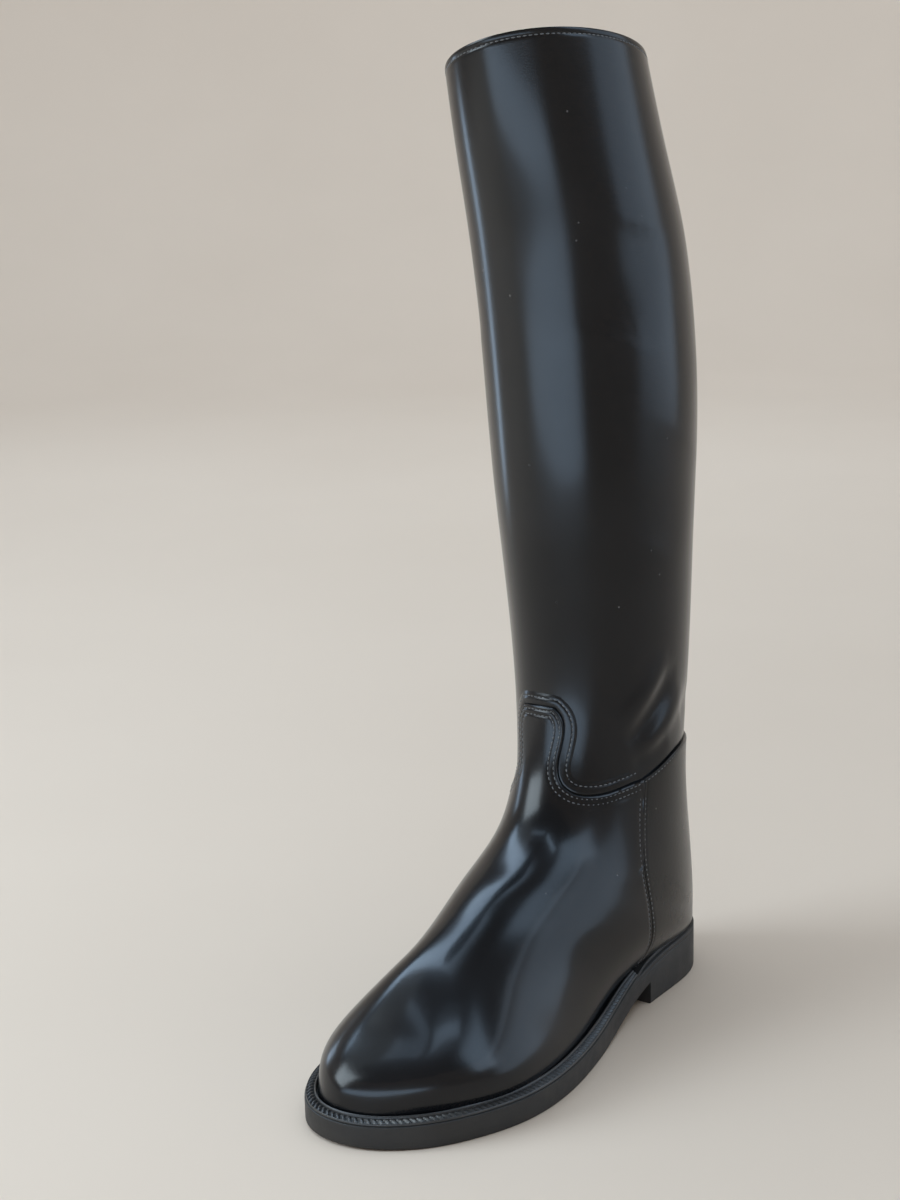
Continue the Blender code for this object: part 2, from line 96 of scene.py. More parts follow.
# Layers of the upper: the shaft's leather, and heights of the vamp and the counter over it
LEATHER = 0.75
LAYER_FOOT = 0.1
LAYER_EDGE = 0.35
LAYER_TOP = LAYER_GAP + LAYER_THICK
EDGE_ROUND = 1.0
PLAY = 0.02

# Collar: leather and lining turn towards each other near the edge, which is cut and undyed
LEATHER_ROLL = 0.3
LEATHER_ROLL_WIDE = 0.8
LINING_ROLL = 0.25
LINING_ROLL_WIDE = 0.7
CUT_EDGE = 0.3

# Slow waves of the leather on the leg, and the heights over the sole where the relief sets in
WAVE_HIGH = 0.3
WAVE_Z = (95.0, 190.0)
HELD_ABOVE = (2.0, 14.0)

# Stitch rows: distance from the edge that each one follows
COLLAR_ROW = 2.8
SHAFT_ROW = 4.3
VAMP_ROWS = (1.9, 4.7)
SIDE_ROW = 2.2
HEEL_ROW = 1.6
BACK_ROW = 1.7
SEAM_OPEN = 0.2

# Groove that a row pulls into the leather, and the height at which its stitches lie
CHANNEL_WIDE = 0.5
CHANNEL_DEEP = 0.28
COLLAR_STITCH = -0.16
LAYER_STITCH = LAYER_TOP - CHANNEL_DEEP + 0.08
BAND_STITCH_START = 0.02
BAND_STITCH_RISE = 0.34

# Steps at the start of a chain that stay without stitches
BAND_BARE = 8
VAMP_BARE = 6
SEAM_BARE = 4

# One stitch: its form over its length, as a share of the thread's radius
PITCH = 2.6
STITCH = 1.9
THREAD = 0.34
STITCH_DIP = 1.1
STITCH_SIDES = 6
STITCH_FORM = (
    ("along", "thick"),
    (0.0, 0.35),
    (0.12, 0.8),
    (0.5, 1.0),
    (0.88, 0.8),
    (1.0, 0.35),
)

# Band beside the front edge of the vamp: distance from the edge and height, fading in over its first steps
BAND = (
    ("away", "lift"),
    (-0.15, 0.0),
    (-0.25, 0.3),
    (-0.6, 0.5),
    (-1.4, 0.62),
    (-2.6, 0.62),
    (-3.5, 0.55),
    (-3.9, 0.42),
    (-4.3, 0.3),
    (-4.7, 0.36),
    (-5.2, 0.3),
    (-5.9, 0.12),
    (-6.6, -0.02),
)
BAND_STEPS = 110
BAND_FADE = (0.0, 34.0)
BAND_SUNK = -0.05
BAND_FOOT = -0.3

# Edge of the sole: heights over its underside and below its top, the insets there, and steps round one half
SOLE_STEPS = 260
SOLE_FOOT = (
    ("above", "inset"),
    (0.0, 1.0),
    (0.12, 0.35),
    (0.45, 0.08),
    (1.0, 0.0),
)
SOLE_EDGE = (
    ("below", "inset", "heel_inset"),
    (5.3, 0.0, 0.0),
    (5.0, 0.0, 0.12),
    (4.7, 0.0, 0.4),
    (4.4, 0.0, 0.12),
    (4.1, 0.0, 0.0),
    (2.6, 0.0, 0.0),
    (2.2, 0.0, 0.15),
    (1.85, 0.0, 0.55),
    (1.6, 0.0, 1.7),
    (0.3, 0.1, 1.7),
    (0.0, 0.5, 1.5),
)
HEEL_EDGE_S = (74.0, 102.0)
BREAST_HALF = 0.02

# Rounded edge of the footbed, and steps round one half
FOOTBED_STEPS = 120
FOOTBED_EDGE = (
    ("below", "inset"),
    (INSOLE_THICK, 0.0),
    (0.8, 0.0),
    (0.25, 0.25),
    (0.0, 0.9),
)

# Welt: outer edge, slanted ticks, and a bead that sits closer to the leather than the solid's
WELT_EDGE = (
    ("inset", "height"),
    (0.0, SEAT_GAP),
    (0.0, 1.0),
    (0.25, 1.35),
)
WELT_BEAD = (
    ("out", "height"),
    (1.2, 1.7),
    (1.12, 2.5),
    (0.92, 2.95),
    (0.6, 3.1),
    (0.28, 2.95),
    (0.08, 2.5),
    (0.0, SEAT_GAP),
)
WELT_WIDER = 0.3
WELT_CLOSE = 1.1
WELT_MIDDLE = 3.0
TICK_PITCH = 3.0
TICK_STEPS = 8
TICK_SLANT = -0.8
TICK_DEEP = 1.25
TICK_LOW = 0.55
TICK_RISE = 0.6
TICK_FROM = 0.5
TICK_TO = 1.3
TICK_SHARES = (0.0, 0.12, 0.3, 0.5, 0.7, 0.88, 1.0)

# Faces of the upper: shares round it, rows just below the collar's edge in millimetres, and rows of
# the shaft, the ankle and the foot
SHARES = np.linspace(0.0, 1.0, 73)
COLLAR_STEPS = np.array((0.0, 0.2, 0.45, 0.8, 1.3, 1.8, 2.2, 2.5, 2.8, 3.1, 3.4, 3.9, 4.8, 6.5))
UPPER_ROWS = (120, 70, 30)
LINING_ROWS = (44, 30, 30)

# Vamp: steps along the side seam, the front edge, across the tab and along its top, and rows of faces
SIDE_STEPS = 60
FRONT_STEPS = 40
TAB_STEPS = 22
TAB_TOP_STEPS = 16
VAMP_ROWS_BACK = 44
VAMP_ROWS_TOE = 60
TAB_ROWS = 56

# Faces of the counter: rows, steps, and the share of the way round where they crowd to the side seam
COUNTER_ROWS = 70
COUNTER_STEPS = 49
COUNTER_FINE_STEPS = 16
COUNTER_FINE_FROM = 0.9

# Outline of the sole seen from above
OUTLINE = (
    ("s", "outer", "inner"),
    (0.0, 0.0, 0.0),
    (3.0, 13.4, 13.4),
    (12.0, 25.4, 25.2),
    (30.0, 34.4, 34.0),
    (60.0, 36.9, 33.8),
    (95.0, 39.0, 31.0),
    (130.0, 45.6, 30.0),
    (165.0, 53.4, 36.0),
    (195.0, 56.6, 44.8),
    (220.0, 54.0, 49.0),
    (245.0, 44.5, 47.0),
    (263.0, 33.0, 40.0),
    (276.0, 19.0, 30.0),
    (282.5, 7.0, 20.0),
    (285.0, -7.0, 7.0),
)

# Sections of the leg from the collar down
LEG = (
    ("back_y", "back_z", "front_y", "front_z", "swell_out", "swell_in", "mid_x", "power"),
    (-52.0, 510.0, -157.0, 510.0, 43.0, 43.0, -8.8, 1.0),
    (-29.6, 440.0, -143.2, 440.0, 46.6, 46.6, -7.3, 1.0),
    (-12.0, 390.0, -132.4, 390.0, 49.3, 49.3, -6.2, 1.0),
    (-3.6, 330.0, -124.8, 330.0, 49.8, 49.8, -4.8, 1.0),
    (-4.4, 268.0, -121.0, 272.0, 47.9, 47.9, -3.4, 1.0),
    (-7.5, 206.0, -116.0, 222.0, 44.4, 44.4, -2.0, 1.0),
    (-11.3, 150.0, -113.0, 182.0, 41.6, 41.6, -1.0, 1.0),
    (-12.2, 110.0, -115.6, 152.0, 39.4, 39.0, -0.5, 1.0),
    (-6.0, 68.0, -122.0, 124.6, 38.5, 37.2, 0.0, 0.95),
)

# Sections of the foot: arches that stand on the sole at base_s
FOOT = (
    ("base_s", "front_y", "front_z", "swell_out", "swell_in", "mid_x", "power"),
    (0.0, -133.4, 106.7, 41.1, 39.9, 0.0, 0.96),
    (6.5, -149.7, 94.9, 37.7, 36.5, 0.0, 0.90),
    (30.3, -169.5, 87.0, 28.5, 26.6, -0.7, 1.0),
    (67.0, -188.8, 78.4, 24.9, 21.6, -1.5, 1.06),
    (109.0, -207.8, 71.4, 23.5, 16.5, -2.5, 1.07),
    (151.0, -224.8, 64.2, 15.7, 15.8, -4.0, 1.02),
    (182.5, -240.2, 54.2, 12.6, 13.8, -5.5, 0.97),
    (210.0, -254.5, 42.3, 12.0, 11.0, -6.8, 0.92),
    (226.0, -266.6, 31.0, 13.4, 12.0, -7.6, 0.92),
    (234.0, -274.6, 20.5, 12.8, 12.6, -8.0, 0.95),
    (238.0, -277.0, 12.0, 12.4, 12.0, -8.2, 1.0),
)

# Stations of the ankle, of the back of the heel and of the tip of the toe
U_ANKLE = 5.0
U_HEEL = float(len(LEG) - 1)
U_END = U_HEEL + float(len(FOOT) - 2)

# Edges of the layers on the upper: station u, and share v from the back line to the front line
SEAM_BACK = (
    ("u", "v"),
    (6.25, 0.0),
    (6.47, 0.2),
    (6.78, 0.42),
    (7.19, 0.547),
    (7.43, 0.613),
)
SEAM_SIDE = (
    ("u", "v"),
    (7.43, 0.613),
    (8.13, 0.617),
    (8.92, 0.599),
    (9.83, 0.508),
    (10.64, 0.384),
    (11.6, 0.209),
    (12.4, 0.02),
)
SEAM_FRONT = (
    ("u", "v"),
    (7.43, 0.613),
    (7.62, 0.68),
    (7.86, 0.76),
    (7.99, 0.83),
    (7.99, 0.875),
    (7.9, 0.91),
)
TAB_EDGE = (
    ("u", "v"),
    (7.9, 0.91),
    (7.75, 0.93),
    (7.55, 0.938),
    (7.3, 0.932),
    (7.1, 0.924),
    (6.9, 0.922),
    (6.72, 0.934),
    (6.58, 0.965),
)

# Creases and dents of the leather: a line on one side, its half width and its height
FOLDS = (
    ("side", "u_from", "v_from", "u_to", "v_to", "wide", "high"),
    (1, 5.55, 0.535, 6.75, 0.727, 4.4, 1.5),
    (1, 5.7, 0.5, 7.0, 0.685, 4.2, -1.8),
    (1, 5.9, 0.42, 7.1, 0.635, 4.6, 1.4),
    (1, 6.7, 0.5, 7.3, 0.66, 3.6, -1.0),
    (1, 5.9, 0.3, 6.3, 0.42, 5.0, -0.7),
    (1, 1.8, 0.57, 2.75, 0.7, 13.0, -1.3),
    (1, 3.6, 0.45, 4.5, 0.6, 16.0, -0.7),
    (1, 5.85, 0.0, 6.1, 0.3, 5.0, -0.8),
    (-1, 5.85, 0.0, 6.1, 0.25, 5.0, -0.8),
    (1, 5.6, 0.0, 5.8, 0.22, 5.0, 0.6),
    (-1, 5.6, 0.0, 5.8, 0.26, 5.0, 0.6),
    (-1, 5.6, 0.48, 6.7, 0.66, 4.4, 0.8),
    (-1, 5.8, 0.42, 6.95, 0.62, 4.2, -1.0),
    (-1, 6.0, 0.36, 7.1, 0.55, 4.2, 0.7),
    (-1, 2.1, 0.5, 2.9, 0.66, 14.0, -1.1),
)


def columns(table, *names):
    """Named columns of a table whose first row holds the names."""
    places = [table[0].index(name) for name in names]
    return np.array([[row[k] for k in places] for row in table[1:]], float)


def spline(knots, values):
    """Smooth curve through the rows of values, natural at both ends."""
    knots = np.asarray(knots, float)
    count = len(knots)
    values = np.reshape(values, (count, -1))
    step = np.diff(knots)
    slope = np.diff(values, axis=0) / step[:, None]
    matrix = np.eye(count)
    right = np.zeros_like(values)
    for i in range(1, count - 1):
        matrix[i, i - 1:i + 2] = (step[i - 1], 2.0 * (step[i - 1] + step[i]), step[i])
        right[i] = 6.0 * (slope[i] - slope[i - 1])
    bend = np.linalg.solve(matrix, right)

    def at(t):
        t = np.asarray(t, float)
        k = np.clip(np.searchsorted(knots, t) - 1, 0, count - 2)
        past = (t - knots[k])[..., None]
        left = (knots[k + 1] - t)[..., None]
        width = step[k][..., None]
        cubic = (bend[k] * left ** 3 + bend[k + 1] * past ** 3) / (6.0 * width)
        first = (values[k] / width - bend[k] * width / 6.0) * left
        second = (values[k + 1] / width - bend[k + 1] * width / 6.0) * past
        return cubic + first + second

    return at


def ease(t):
    t = np.clip(t, 0.0, 1.0)
    return t ** 3 * (10.0 - 15.0 * t + 6.0 * t * t)


def between(s, start, end):
    """Eased share of the way from start to end."""
    return ease((np.asarray(s, float) - start) / (end - start))


def turn(s):
    """Angle round the outline: 0 at the back of the heel, pi at the tip of the toe."""
    return np.arccos(np.clip(1.0 - 2.0 * np.asarray(s, float) / LENGTH, -1.0, 1.0))


def along(angle):
    """Distance from the back of the heel at an angle round the outline."""
    return LENGTH * (1.0 - np.cos(angle)) / 2.0


def closed_outline():
    s, outer, inner = columns(OUTLINE, "s", "outer", "inner").T
    angle = turn(s)
    knots = np.concatenate([angle, 2.0 * np.pi - angle[-2:0:-1]])
    across = np.concatenate([outer, -inner[-2:0:-1]])
    lap = 2.0 * np.pi
    knots = np.concatenate([knots - lap, knots, knots + lap])
    return spline(knots, np.tile(across, 3))


outline_across = closed_outline()


def outline(angle, inset=0.0):
    """Point of the sole's outline from above, moved inwards by inset."""
    angle = np.asarray(angle, float)

    def point(a):
        across = outline_across(np.mod(a, 2.0 * np.pi))[..., 0]
        return np.stack([across, -along(a)], -1)

    tangent = point(angle + 0.004) - point(angle - 0.004)
    tangent = tangent / np.linalg.norm(tangent, axis=-1, keepdims=True)
    outward = np.stack([-tangent[..., 1], tangent[..., 0]], -1)
    return point(angle) - outward * np.asarray(inset, float)[..., None]


def sole_top(s):
    """Height of the sole's upper edge: seat of the heel, slope of the arch, forefoot."""
    seat = ease((SEAT_FALL_END_S - np.asarray(s, float)) / SEAT_FALL_LENGTH)
    return FORE_Z * (1.0 - seat) + SEAT_Z * seat


def sole_under(s):
    """Height of the sole's underside: heel, arched waist, forefoot and the lifted tip of the toe."""
    s = np.asarray(s, float)
    waist = np.where(s > BREAST_S, np.maximum(sole_top(s) - WAIST_THICK, 0.0), 0.0)
    lifted = np.clip((s - SPRING_FROM_S) / (LENGTH - SPRING_FROM_S), 0.0, None)
    return waist + TOE_SPRING * lifted ** 2


def rim(angle):
    """Ledge of the sole outside the leather, narrow round the heel and along the inner waist."""
    s = along(angle)
    share = np.where(np.asarray(angle) <= np.pi, between(s, *RIM_OUTER_S), between(s, *RIM_INNER_S))
    return RIM_HEEL + (RIM_FORE - RIM_HEEL) * share


def on_sole(angle, inset, lift):
    place = outline(angle, inset)
    height = sole_top(-place[..., 1]) + lift
    return np.concatenate([place, height[..., None]], -1)


def feather(angle):
    """Lower edge of the upper's outer face."""
    return on_sole(angle, rim(angle) + LAYER_GAP + LAYER_THICK, SEAT_GAP)


def section_curves():
    """Curves over the stations for the back point, the angle of the base and the front point."""
    shape = ("front_y", "front_z", "swell_out", "swell_in", "mid_x", "power")
    base = turn(columns(FOOT, "base_s"))
    back = np.vstack([columns(LEG, "back_y", "back_z"), feather(0.0)[1:]])
    front = np.vstack([columns(LEG, *shape), columns(FOOT, *shape)])
    for name, value in zip(("mid_x", "front_y", "front_z"), feather(np.pi)):
        front[-1, shape.index(name)] = value
    back_curve = spline(np.arange(len(back)), back)
    base_curve = spline(np.arange(len(base)) + U_HEEL, base)
    front_curve = spline(np.arange(len(front)), front)
    return back_curve, base_curve, front_curve


back_curve, base_curve, front_curve = section_curves()


def section(u, v, side):
    """Sections of the leg and the foot. side is +1 on the outer half and -1 on the inner half."""
    u, v = np.broadcast_arrays(np.asarray(u, float), np.asarray(v, float))
    front_y, front_z, swell_out, swell_in, mid, power = np.moveaxis(front_curve(u), -1, 0)
    swell = swell_out if side > 0 else swell_in
    back = back_curve(np.minimum(u, U_HEEL))
    angle = np.where(u > U_HEEL, base_curve(np.maximum(u, U_HEEL))[..., 0], 0.0)
    base = feather(angle if side > 0 else 2.0 * np.pi - angle)
    closed = u <= U_HEEL
    base_y = np.where(closed, back[..., 0], base[..., 1])
    base_z = np.where(closed, back[..., 1], base[..., 2])
    reach = np.where(closed, 0.0, np.maximum((base[..., 0] - mid) * side, 0.0))
    wide = np.hypot(reach, swell)
    low = -np.arccos(np.clip(reach / wide, 0.0, 1.0) ** (1.0 / power))
    theta = low + v * (np.pi / 2.0 - low)
    share = (np.sin(theta) - np.sin(low)) / (1.0 - np.sin(low))
    x = mid + side * wide * np.clip(np.cos(theta), 0.0, 1.0) ** power
    y = base_y + share * (front_y - base_y)
    z = base_z + share * (front_z - base_z)
    # The last stations settle on the feather edge round the toe
    settle = ease((u - (U_END - TOE_STATIONS)) / TOE_STATIONS)[..., None]
    sweep = angle + share ** TOE_SPREAD * (np.pi - angle)
    tip = feather(sweep if side > 0 else 2.0 * np.pi - sweep)
    tip_z = tip[..., 2] + share * (front_z - tip[..., 2])
    tip = np.stack([tip[..., 0], tip[..., 1], tip_z], -1)
    return np.stack([x, y, z], -1) * (1.0 - settle) + tip * settle


def last(u, v, side):
    """Outer face of the upper: the sections, faired where the leg becomes the foot."""
    u, v = np.broadcast_arrays(np.asarray(u, float), np.asarray(v, float))
    near = between(u, *FAIR_ABOVE) * (1.0 - between(u, *FAIR_BELOW))
    spread = FAIR_SPREAD * near * ease(v / FAIR_SHARE)
    taps = np.linspace(-0.8, 0.8, 9)
    weights = (1.0 - taps ** 2) ** 2
    weights = weights / weights.sum()
    point = section(u, v, side)
    held = spread > 0.0
    if held.any():
        u, v, spread = u[held], v[held], spread[held]
        point[held] = sum(w * section(u + tap * spread, v, side) for tap, w in zip(taps, weights))
    return point


def slopes(u, v, side):
    """Steps of the face for one station and for one whole share."""
    step = 0.002
    up, down = np.minimum(u + step, U_END), np.maximum(u - step, 0.0)
    fore, aft = np.minimum(v + step, 1.0), np.maximum(v - step, 0.0)
    along_u = (last(up, v, side) - last(down, v, side)) / (up - down)[..., None]
    along_v = (last(u, fore, side) - last(u, aft, side)) / (fore - aft)[..., None]
    return along_u, along_v


def fold_lines():
    """Points along each crease, with its width and its height, tapered at both ends."""
    lines = []
    for side, u_from, v_from, u_to, v_to, wide, high in columns(FOLDS, *FOLDS[0]):
        t = np.linspace(0.0, 1.0, 31)
        points = last(u_from + t * (u_to - u_from), v_from + t * (v_to - v_from), side)
        lines.append((points, wide, high * (1.0 - np.abs(2.0 * t - 1.0) ** 3)))
    return lines


folds = fold_lines()


def relief(points):
    """Height of creases, dents and the slow waves of hand lasted leather."""
    flat = points.reshape(-1, 3)
    x, y, z = flat.T
    waves = np.sin(z / 27.0 + y / 43.0) * np.sin(y / 25.0 + x / 31.0 + z / 57.0)
    height = WAVE_HIGH * between(z, *WAVE_Z) * waves
    for line, wide, high in folds:
        near = np.all((flat > line.min(0) - 3.0 * wide) & (flat < line.max(0) + 3.0 * wide), axis=1)
        if not near.any():
            continue
        gap = np.linalg.norm(flat[near][:, None, :] - line[None], axis=2)
        nearest = gap.argmin(1)
        drop = gap[np.arange(len(nearest)), nearest]
        height[near] += high[nearest] * np.exp(-0.5 * (drop / wide) ** 2)
    # Nothing moves where the leather is held by the sole
    held = between(z - sole_top(-y), *HELD_ABOVE)
    return (height * held).reshape(points.shape[:-1])


def skin(u, v, side, lift):
    """The upper's face with its relief, moved outwards by lift and kept clear above the sole."""
    u, v = np.broadcast_arrays(np.asarray(u, float), np.asarray(v, float))
    along_u, along_v = slopes(u, v, side)
    outward = np.cross(along_u, along_v) * -side
    outward = outward / np.linalg.norm(outward, axis=-1, keepdims=True)
    base = last(u, v, side)
    point = base + (lift + relief(base))[..., None] * outward
    floor = sole_top(-point[..., 1]) + SEAT_GAP
    point[..., 2] = np.maximum(point[..., 2], floor)
    return point, outward


def collar_u(v, side):
    """Station of the collar's edge: higher at the front and on the outer side."""
    height = COLLAR_MID_Z - COLLAR_FRONT_RISE * np.cos(np.pi * v)
    height = height + side * COLLAR_SIDE_RISE * np.sin(np.pi * v)
    tries = np.linspace(0.0, 2.0, 401)
    return float(np.interp(-height, -last(tries, np.full_like(tries, v), side)[:, 2], tries))


def edge_curve(table):
    """Curve through an edge table, over the share of its length with stations counted as a sixth."""
    rows = columns(table, "u", "v")
    steps = np.hypot(np.diff(rows[:, 0]) / 6.0, np.diff(rows[:, 1]))
    length = np.concatenate([[0.0], np.cumsum(steps)])
    return spline(length / length[-1], rows)


side_seam = edge_curve(SEAM_SIDE)
back_seam = edge_curve(SEAM_BACK)
front_seam = edge_curve(SEAM_FRONT)
tab_edge = edge_curve(TAB_EDGE)


def tab_places(places, side):
    """Stations and shares of a front edge: on the inner half the tab reaches further round."""
    moved = np.array(places, float)
    if side < 0:
        moved[..., 1] -= TAB_SHIFT * between(moved[..., 1], *TAB_SHIFT_V)
    return moved


def graded(count, finest, start=True):
    """Shares from 0 to 1 that crowd towards their start or their end, where a step is about finest."""
    t = np.linspace(0.0, 1.0, count + 1)
    power = max(1.0, math.log(finest) / math.log(1.0 / count))
    return t ** power if start else 1.0 - (1.0 - t) ** power


def run_along(points):
    """Distance along a line at each of its points."""
    return np.concatenate([[0.0], np.cumsum(np.linalg.norm(np.diff(points, axis=0), axis=1))])


def on_line(points, run, distance):
    """Values at one or more distances along a line."""
    return np.stack([np.interp(distance, run, points[:, k]) for k in range(3)], -1)


def tube(grid, capped=True):
    """Rings of points joined along a line, with a flat cap at each end if capped."""
    count, around = grid.shape[:2]
    number = np.arange(count * around).reshape(count, around)
    after = np.roll(number, -1, 1)
    faces = np.stack([number[:-1], after[:-1], after[1:], number[1:]], -1).reshape(-1, 4).tolist()
    if capped:
        faces += [number[0, ::-1].tolist(), number[-1].tolist()]
    return grid.reshape(-1, 3), faces


def joined(shapes):
    """One shape from several, each with its points and faces."""
    points = []
    faces = []
    start = 0
    for block, rings in shapes:
        points.append(block)
        faces += [[p + start for p in ring] for ring in rings]
        start += len(block)
    return np.vstack(points), faces


class Sheet:
    """Faces over station, share and side, turned into a closed wall between two lifts."""

    def __init__(self):
        self.keys = {}
        self.places = []
        self.faces = []

    def vertex(self, u, v, side):
        shared = v >= 1.0 - 1e-9 or (v <= 1e-9 and u <= U_HEEL + 1e-9)
        key = (round(float(u), 6), round(float(v), 6), 1 if shared else side)
        if key not in self.keys:
            self.keys[key] = len(self.places)
            self.places.append(key)
        return self.keys[key]

    def grid(self, rows, side):
        """rows is an array of (u, v) by row and column."""
        numbers = [[self.vertex(u, v, side) for u, v in row] for row in rows]
        for upper, lower in zip(numbers[:-1], numbers[1:]):
            for ring in zip(upper[:-1], upper[1:], lower[1:], lower[:-1]):
                ring = [p for i, p in enumerate(ring) if p != ring[i - 1]]
                if len(ring) > 2:
                    self.faces.append(ring if side > 0 else ring[::-1])

    def points(self, lift=None):
        """Points at a lift over the face and its relief, or on the plain face."""
        rows = np.array(self.places)
        out = np.zeros((len(rows), 3))
        for side in (1, -1):
            pick = rows[:, 2] == side
            u, v = rows[pick, :2].T
            if lift is None:
                out[pick] = last(u, v, side)
            else:
                out[pick] = skin(u, v, side, np.broadcast_to(lift, len(rows))[pick])[0]
        return out

    def wall(self, low, high):
        """Closed wall; its faces on the border come last."""
        count = len(self.places)
        points = np.vstack([self.points(high), self.points(low)])
        faces = [list(face) for face in self.faces]
        faces += [[p + count for p in reversed(face)] for face in self.faces]
        used = set()
        for face in self.faces:
            used.update(zip(face, face[1:] + face[:1]))
        faces += [[b, a, a + count, b + count] for a, b in sorted(used) if (b, a) not in used]
        return points, faces


def distance_to(points, lines):
    """Distance of each point to the nearest of several lines, and which line that is."""
    tree = KDTree(sum(len(line) for line in lines))
    owner = []
    for number, line in enumerate(lines):
        for point in line:
            tree.insert(Vector(point), len(owner))
            owner.append(number)
    tree.balance()
    found = [tree.find(Vector(point)) for point in points]
    return np.array([hit[2] for hit in found]), np.array([owner[hit[1]] for hit in found])


def channel(distance, row):
    """Soft groove that a stitch row pulls into the leather."""
    return -CHANNEL_DEEP * np.exp(-((distance - row) / CHANNEL_WIDE) ** 2)


def rolled(distance):
    """Share of a layer's thickness near its rounded edge."""
    t = np.clip(distance / EDGE_ROUND, 0.0, 1.0)
    return np.sqrt(np.clip(1.0 - (1.0 - t) ** 2, 0.0, 1.0))


def add_piece(name, shape, looks, cell=None, sharp=None):
    """Object from points in millimetres; cell gives each face's place among the looks."""
    points, faces = shape
    placed = (np.asarray(points, float) + (-MID_X, LENGTH / 2.0, 0.0)) * MM
    mesh = bpy.data.meshes.new(name)
    mesh.from_pydata(placed.tolist(), [], [list(map(int, face)) for face in faces])
    for look in looks:
        mesh.materials.append(look)
    if cell is not None:
        mesh.polygons.foreach_set("material_index", np.asarray(cell, np.int32))
    body = bmesh.new()
    body.from_mesh(mesh)
    bmesh.ops.remove_doubles(body, verts=body.verts, dist=0.000002)
    bmesh.ops.dissolve_degenerate(body, edges=body.edges, dist=0.000002)
    bmesh.ops.recalc_face_normals(body, faces=body.faces)
    body.to_mesh(mesh)
    body.free()
    mesh.shade_smooth()
    if sharp is not None:
        mesh.set_sharp_from_angle(angle=sharp)
    item = bpy.data.objects.new(name, mesh)
    bpy.context.scene.collection.objects.link(item)
    return item


# Materials: sockets of a mix of colours, and the tone of dust on leather
MIX_SHARE = 0
MIX_FIRST = 6
MIX_SECOND = 7
MIX_RESULT = 2
DUST_COLOUR = (0.16, 0.15, 0.14, 1.0)


def new_material(name, **values):
    mat = bpy.data.materials.new(name)
    mat.use_nodes = True
    shader = mat.node_tree.nodes["Principled BSDF"]
    for socket, value in values.items():
        shader.inputs[socket.replace("_", " ")].default_value = value
    return mat, shader


def add_node(mat, kind, values=None, **settings):
    node = mat.node_tree.nodes.new(kind)
    for key, value in settings.items():
        setattr(node, key, value)
    for key, value in (values or {}).items():
        node.inputs[key].default_value = value
    return node


def texture(mat, kind, values):
    """Outputs of a texture over the object's own metres."""
    place = add_node(mat, "ShaderNodeTexCoord")
    node = add_node(mat, kind, values)
    mat.node_tree.links.new(place.outputs["Object"], node.inputs["Vector"])
    return node.outputs


def noise(mat, scale, detail=3.0, rough=0.55):
    return texture(mat, "ShaderNodeTexNoise", {"Scale": scale, "Detail": detail, "Roughness": rough})[0]


def cells(mat, scale):
    return texture(mat, "ShaderNodeTexVoronoi", {"Scale": scale})["Distance"]


def remap(mat, value, low, high, to_low, to_high, **settings):
    ends = {"From Min": low, "From Max": high, "To Min": to_low, "To Max": to_high}
    node = add_node(mat, "ShaderNodeMapRange", ends, **settings)
    mat.node_tree.links.new(value, node.inputs["Value"])
    return node.outputs["Result"]


def ramp(mat, value, *stops):
    """Colours over a value; each stop is its place and a colour."""
    node = add_node(mat, "ShaderNodeValToRGB")
    band = node.color_ramp
    while len(band.elements) < len(stops):
        band.elements.new(0.5)
    for element, (place, colour) in zip(band.elements, stops):
        element.position = place
        element.color = (*colour, 1.0)
    mat.node_tree.links.new(value, node.inputs["Fac"])
    return node.outputs["Color"]


def combine(mat, kind, first, second):
    node = add_node(mat, "ShaderNodeMath", operation=kind)
    for socket, value in zip(node.inputs, (first, second)):
        if isinstance(value, (int, float)):
            socket.default_value = value
        else:
            mat.node_tree.links.new(value, socket)
    return node.outputs[0]


def bump(mat, shader, height, strength, distance):
    node = add_node(mat, "ShaderNodeBump", {"Strength": strength, "Distance": distance})
    mat.node_tree.links.new(height, node.inputs["Height"])
    mat.node_tree.links.new(node.outputs["Normal"], shader.inputs["Normal"])


def leather(name, dark, light, gloss):
    """Polished box calf: deep black with a slow change of gloss, fine pores and a few dust specks."""
    mat, shader = new_material(
        name, IOR=1.3, Coat_Weight=0.27, Coat_Roughness=0.12, Coat_IOR=1.5,
    )
    links = mat.node_tree.links
    tone = ramp(mat, noise(mat, 22.0), (0.35, dark), (0.7, light))
    dust = ramp(mat, cells(mat, 75.0), (0.0, (1.0, 1.0, 1.0)), (0.045, (0.0, 0.0, 0.0)))
    mix = add_node(mat, "ShaderNodeMix", {MIX_SECOND: DUST_COLOUR}, data_type="RGBA")
    links.new(dust, mix.inputs[MIX_SHARE])
    links.new(tone, mix.inputs[MIX_FIRST])
    links.new(mix.outputs[MIX_RESULT], shader.inputs["Base Color"])
    links.new(remap(mat, noise(mat, 30.0, 4.0), 0.3, 0.7, *gloss), shader.inputs["Roughness"])
    grain = combine(mat, "ADD", cells(mat, 1300.0), combine(mat, "MULTIPLY", noise(mat, 420.0), 1.2))
    bump(mat, shader, grain, 0.1, 0.0003)
    return mat


def mottled(name, ior, cloud, stops, rough_scale, rough):
    """Material whose colour follows one noise, cloud, and whose roughness follows another."""
    mat, shader = new_material(name, IOR=ior)
    links = mat.node_tree.links
    links.new(ramp(mat, noise(mat, *cloud), *stops), shader.inputs["Base Color"])
    links.new(remap(mat, noise(mat, rough_scale), 0.3, 0.7, *rough), shader.inputs["Roughness"])
    return mat, shader


def rubber(name, dark, light, rough, scale):
    """Matt moulded rubber with a fine tooth."""
    mat, shader = mottled(name, 1.48, (38.0,), ((0.3, dark), (0.72, light)), 90.0, rough)
    bump(mat, shader, noise(mat, scale, 4.0, 0.7), 0.25, 0.0004)
    return mat


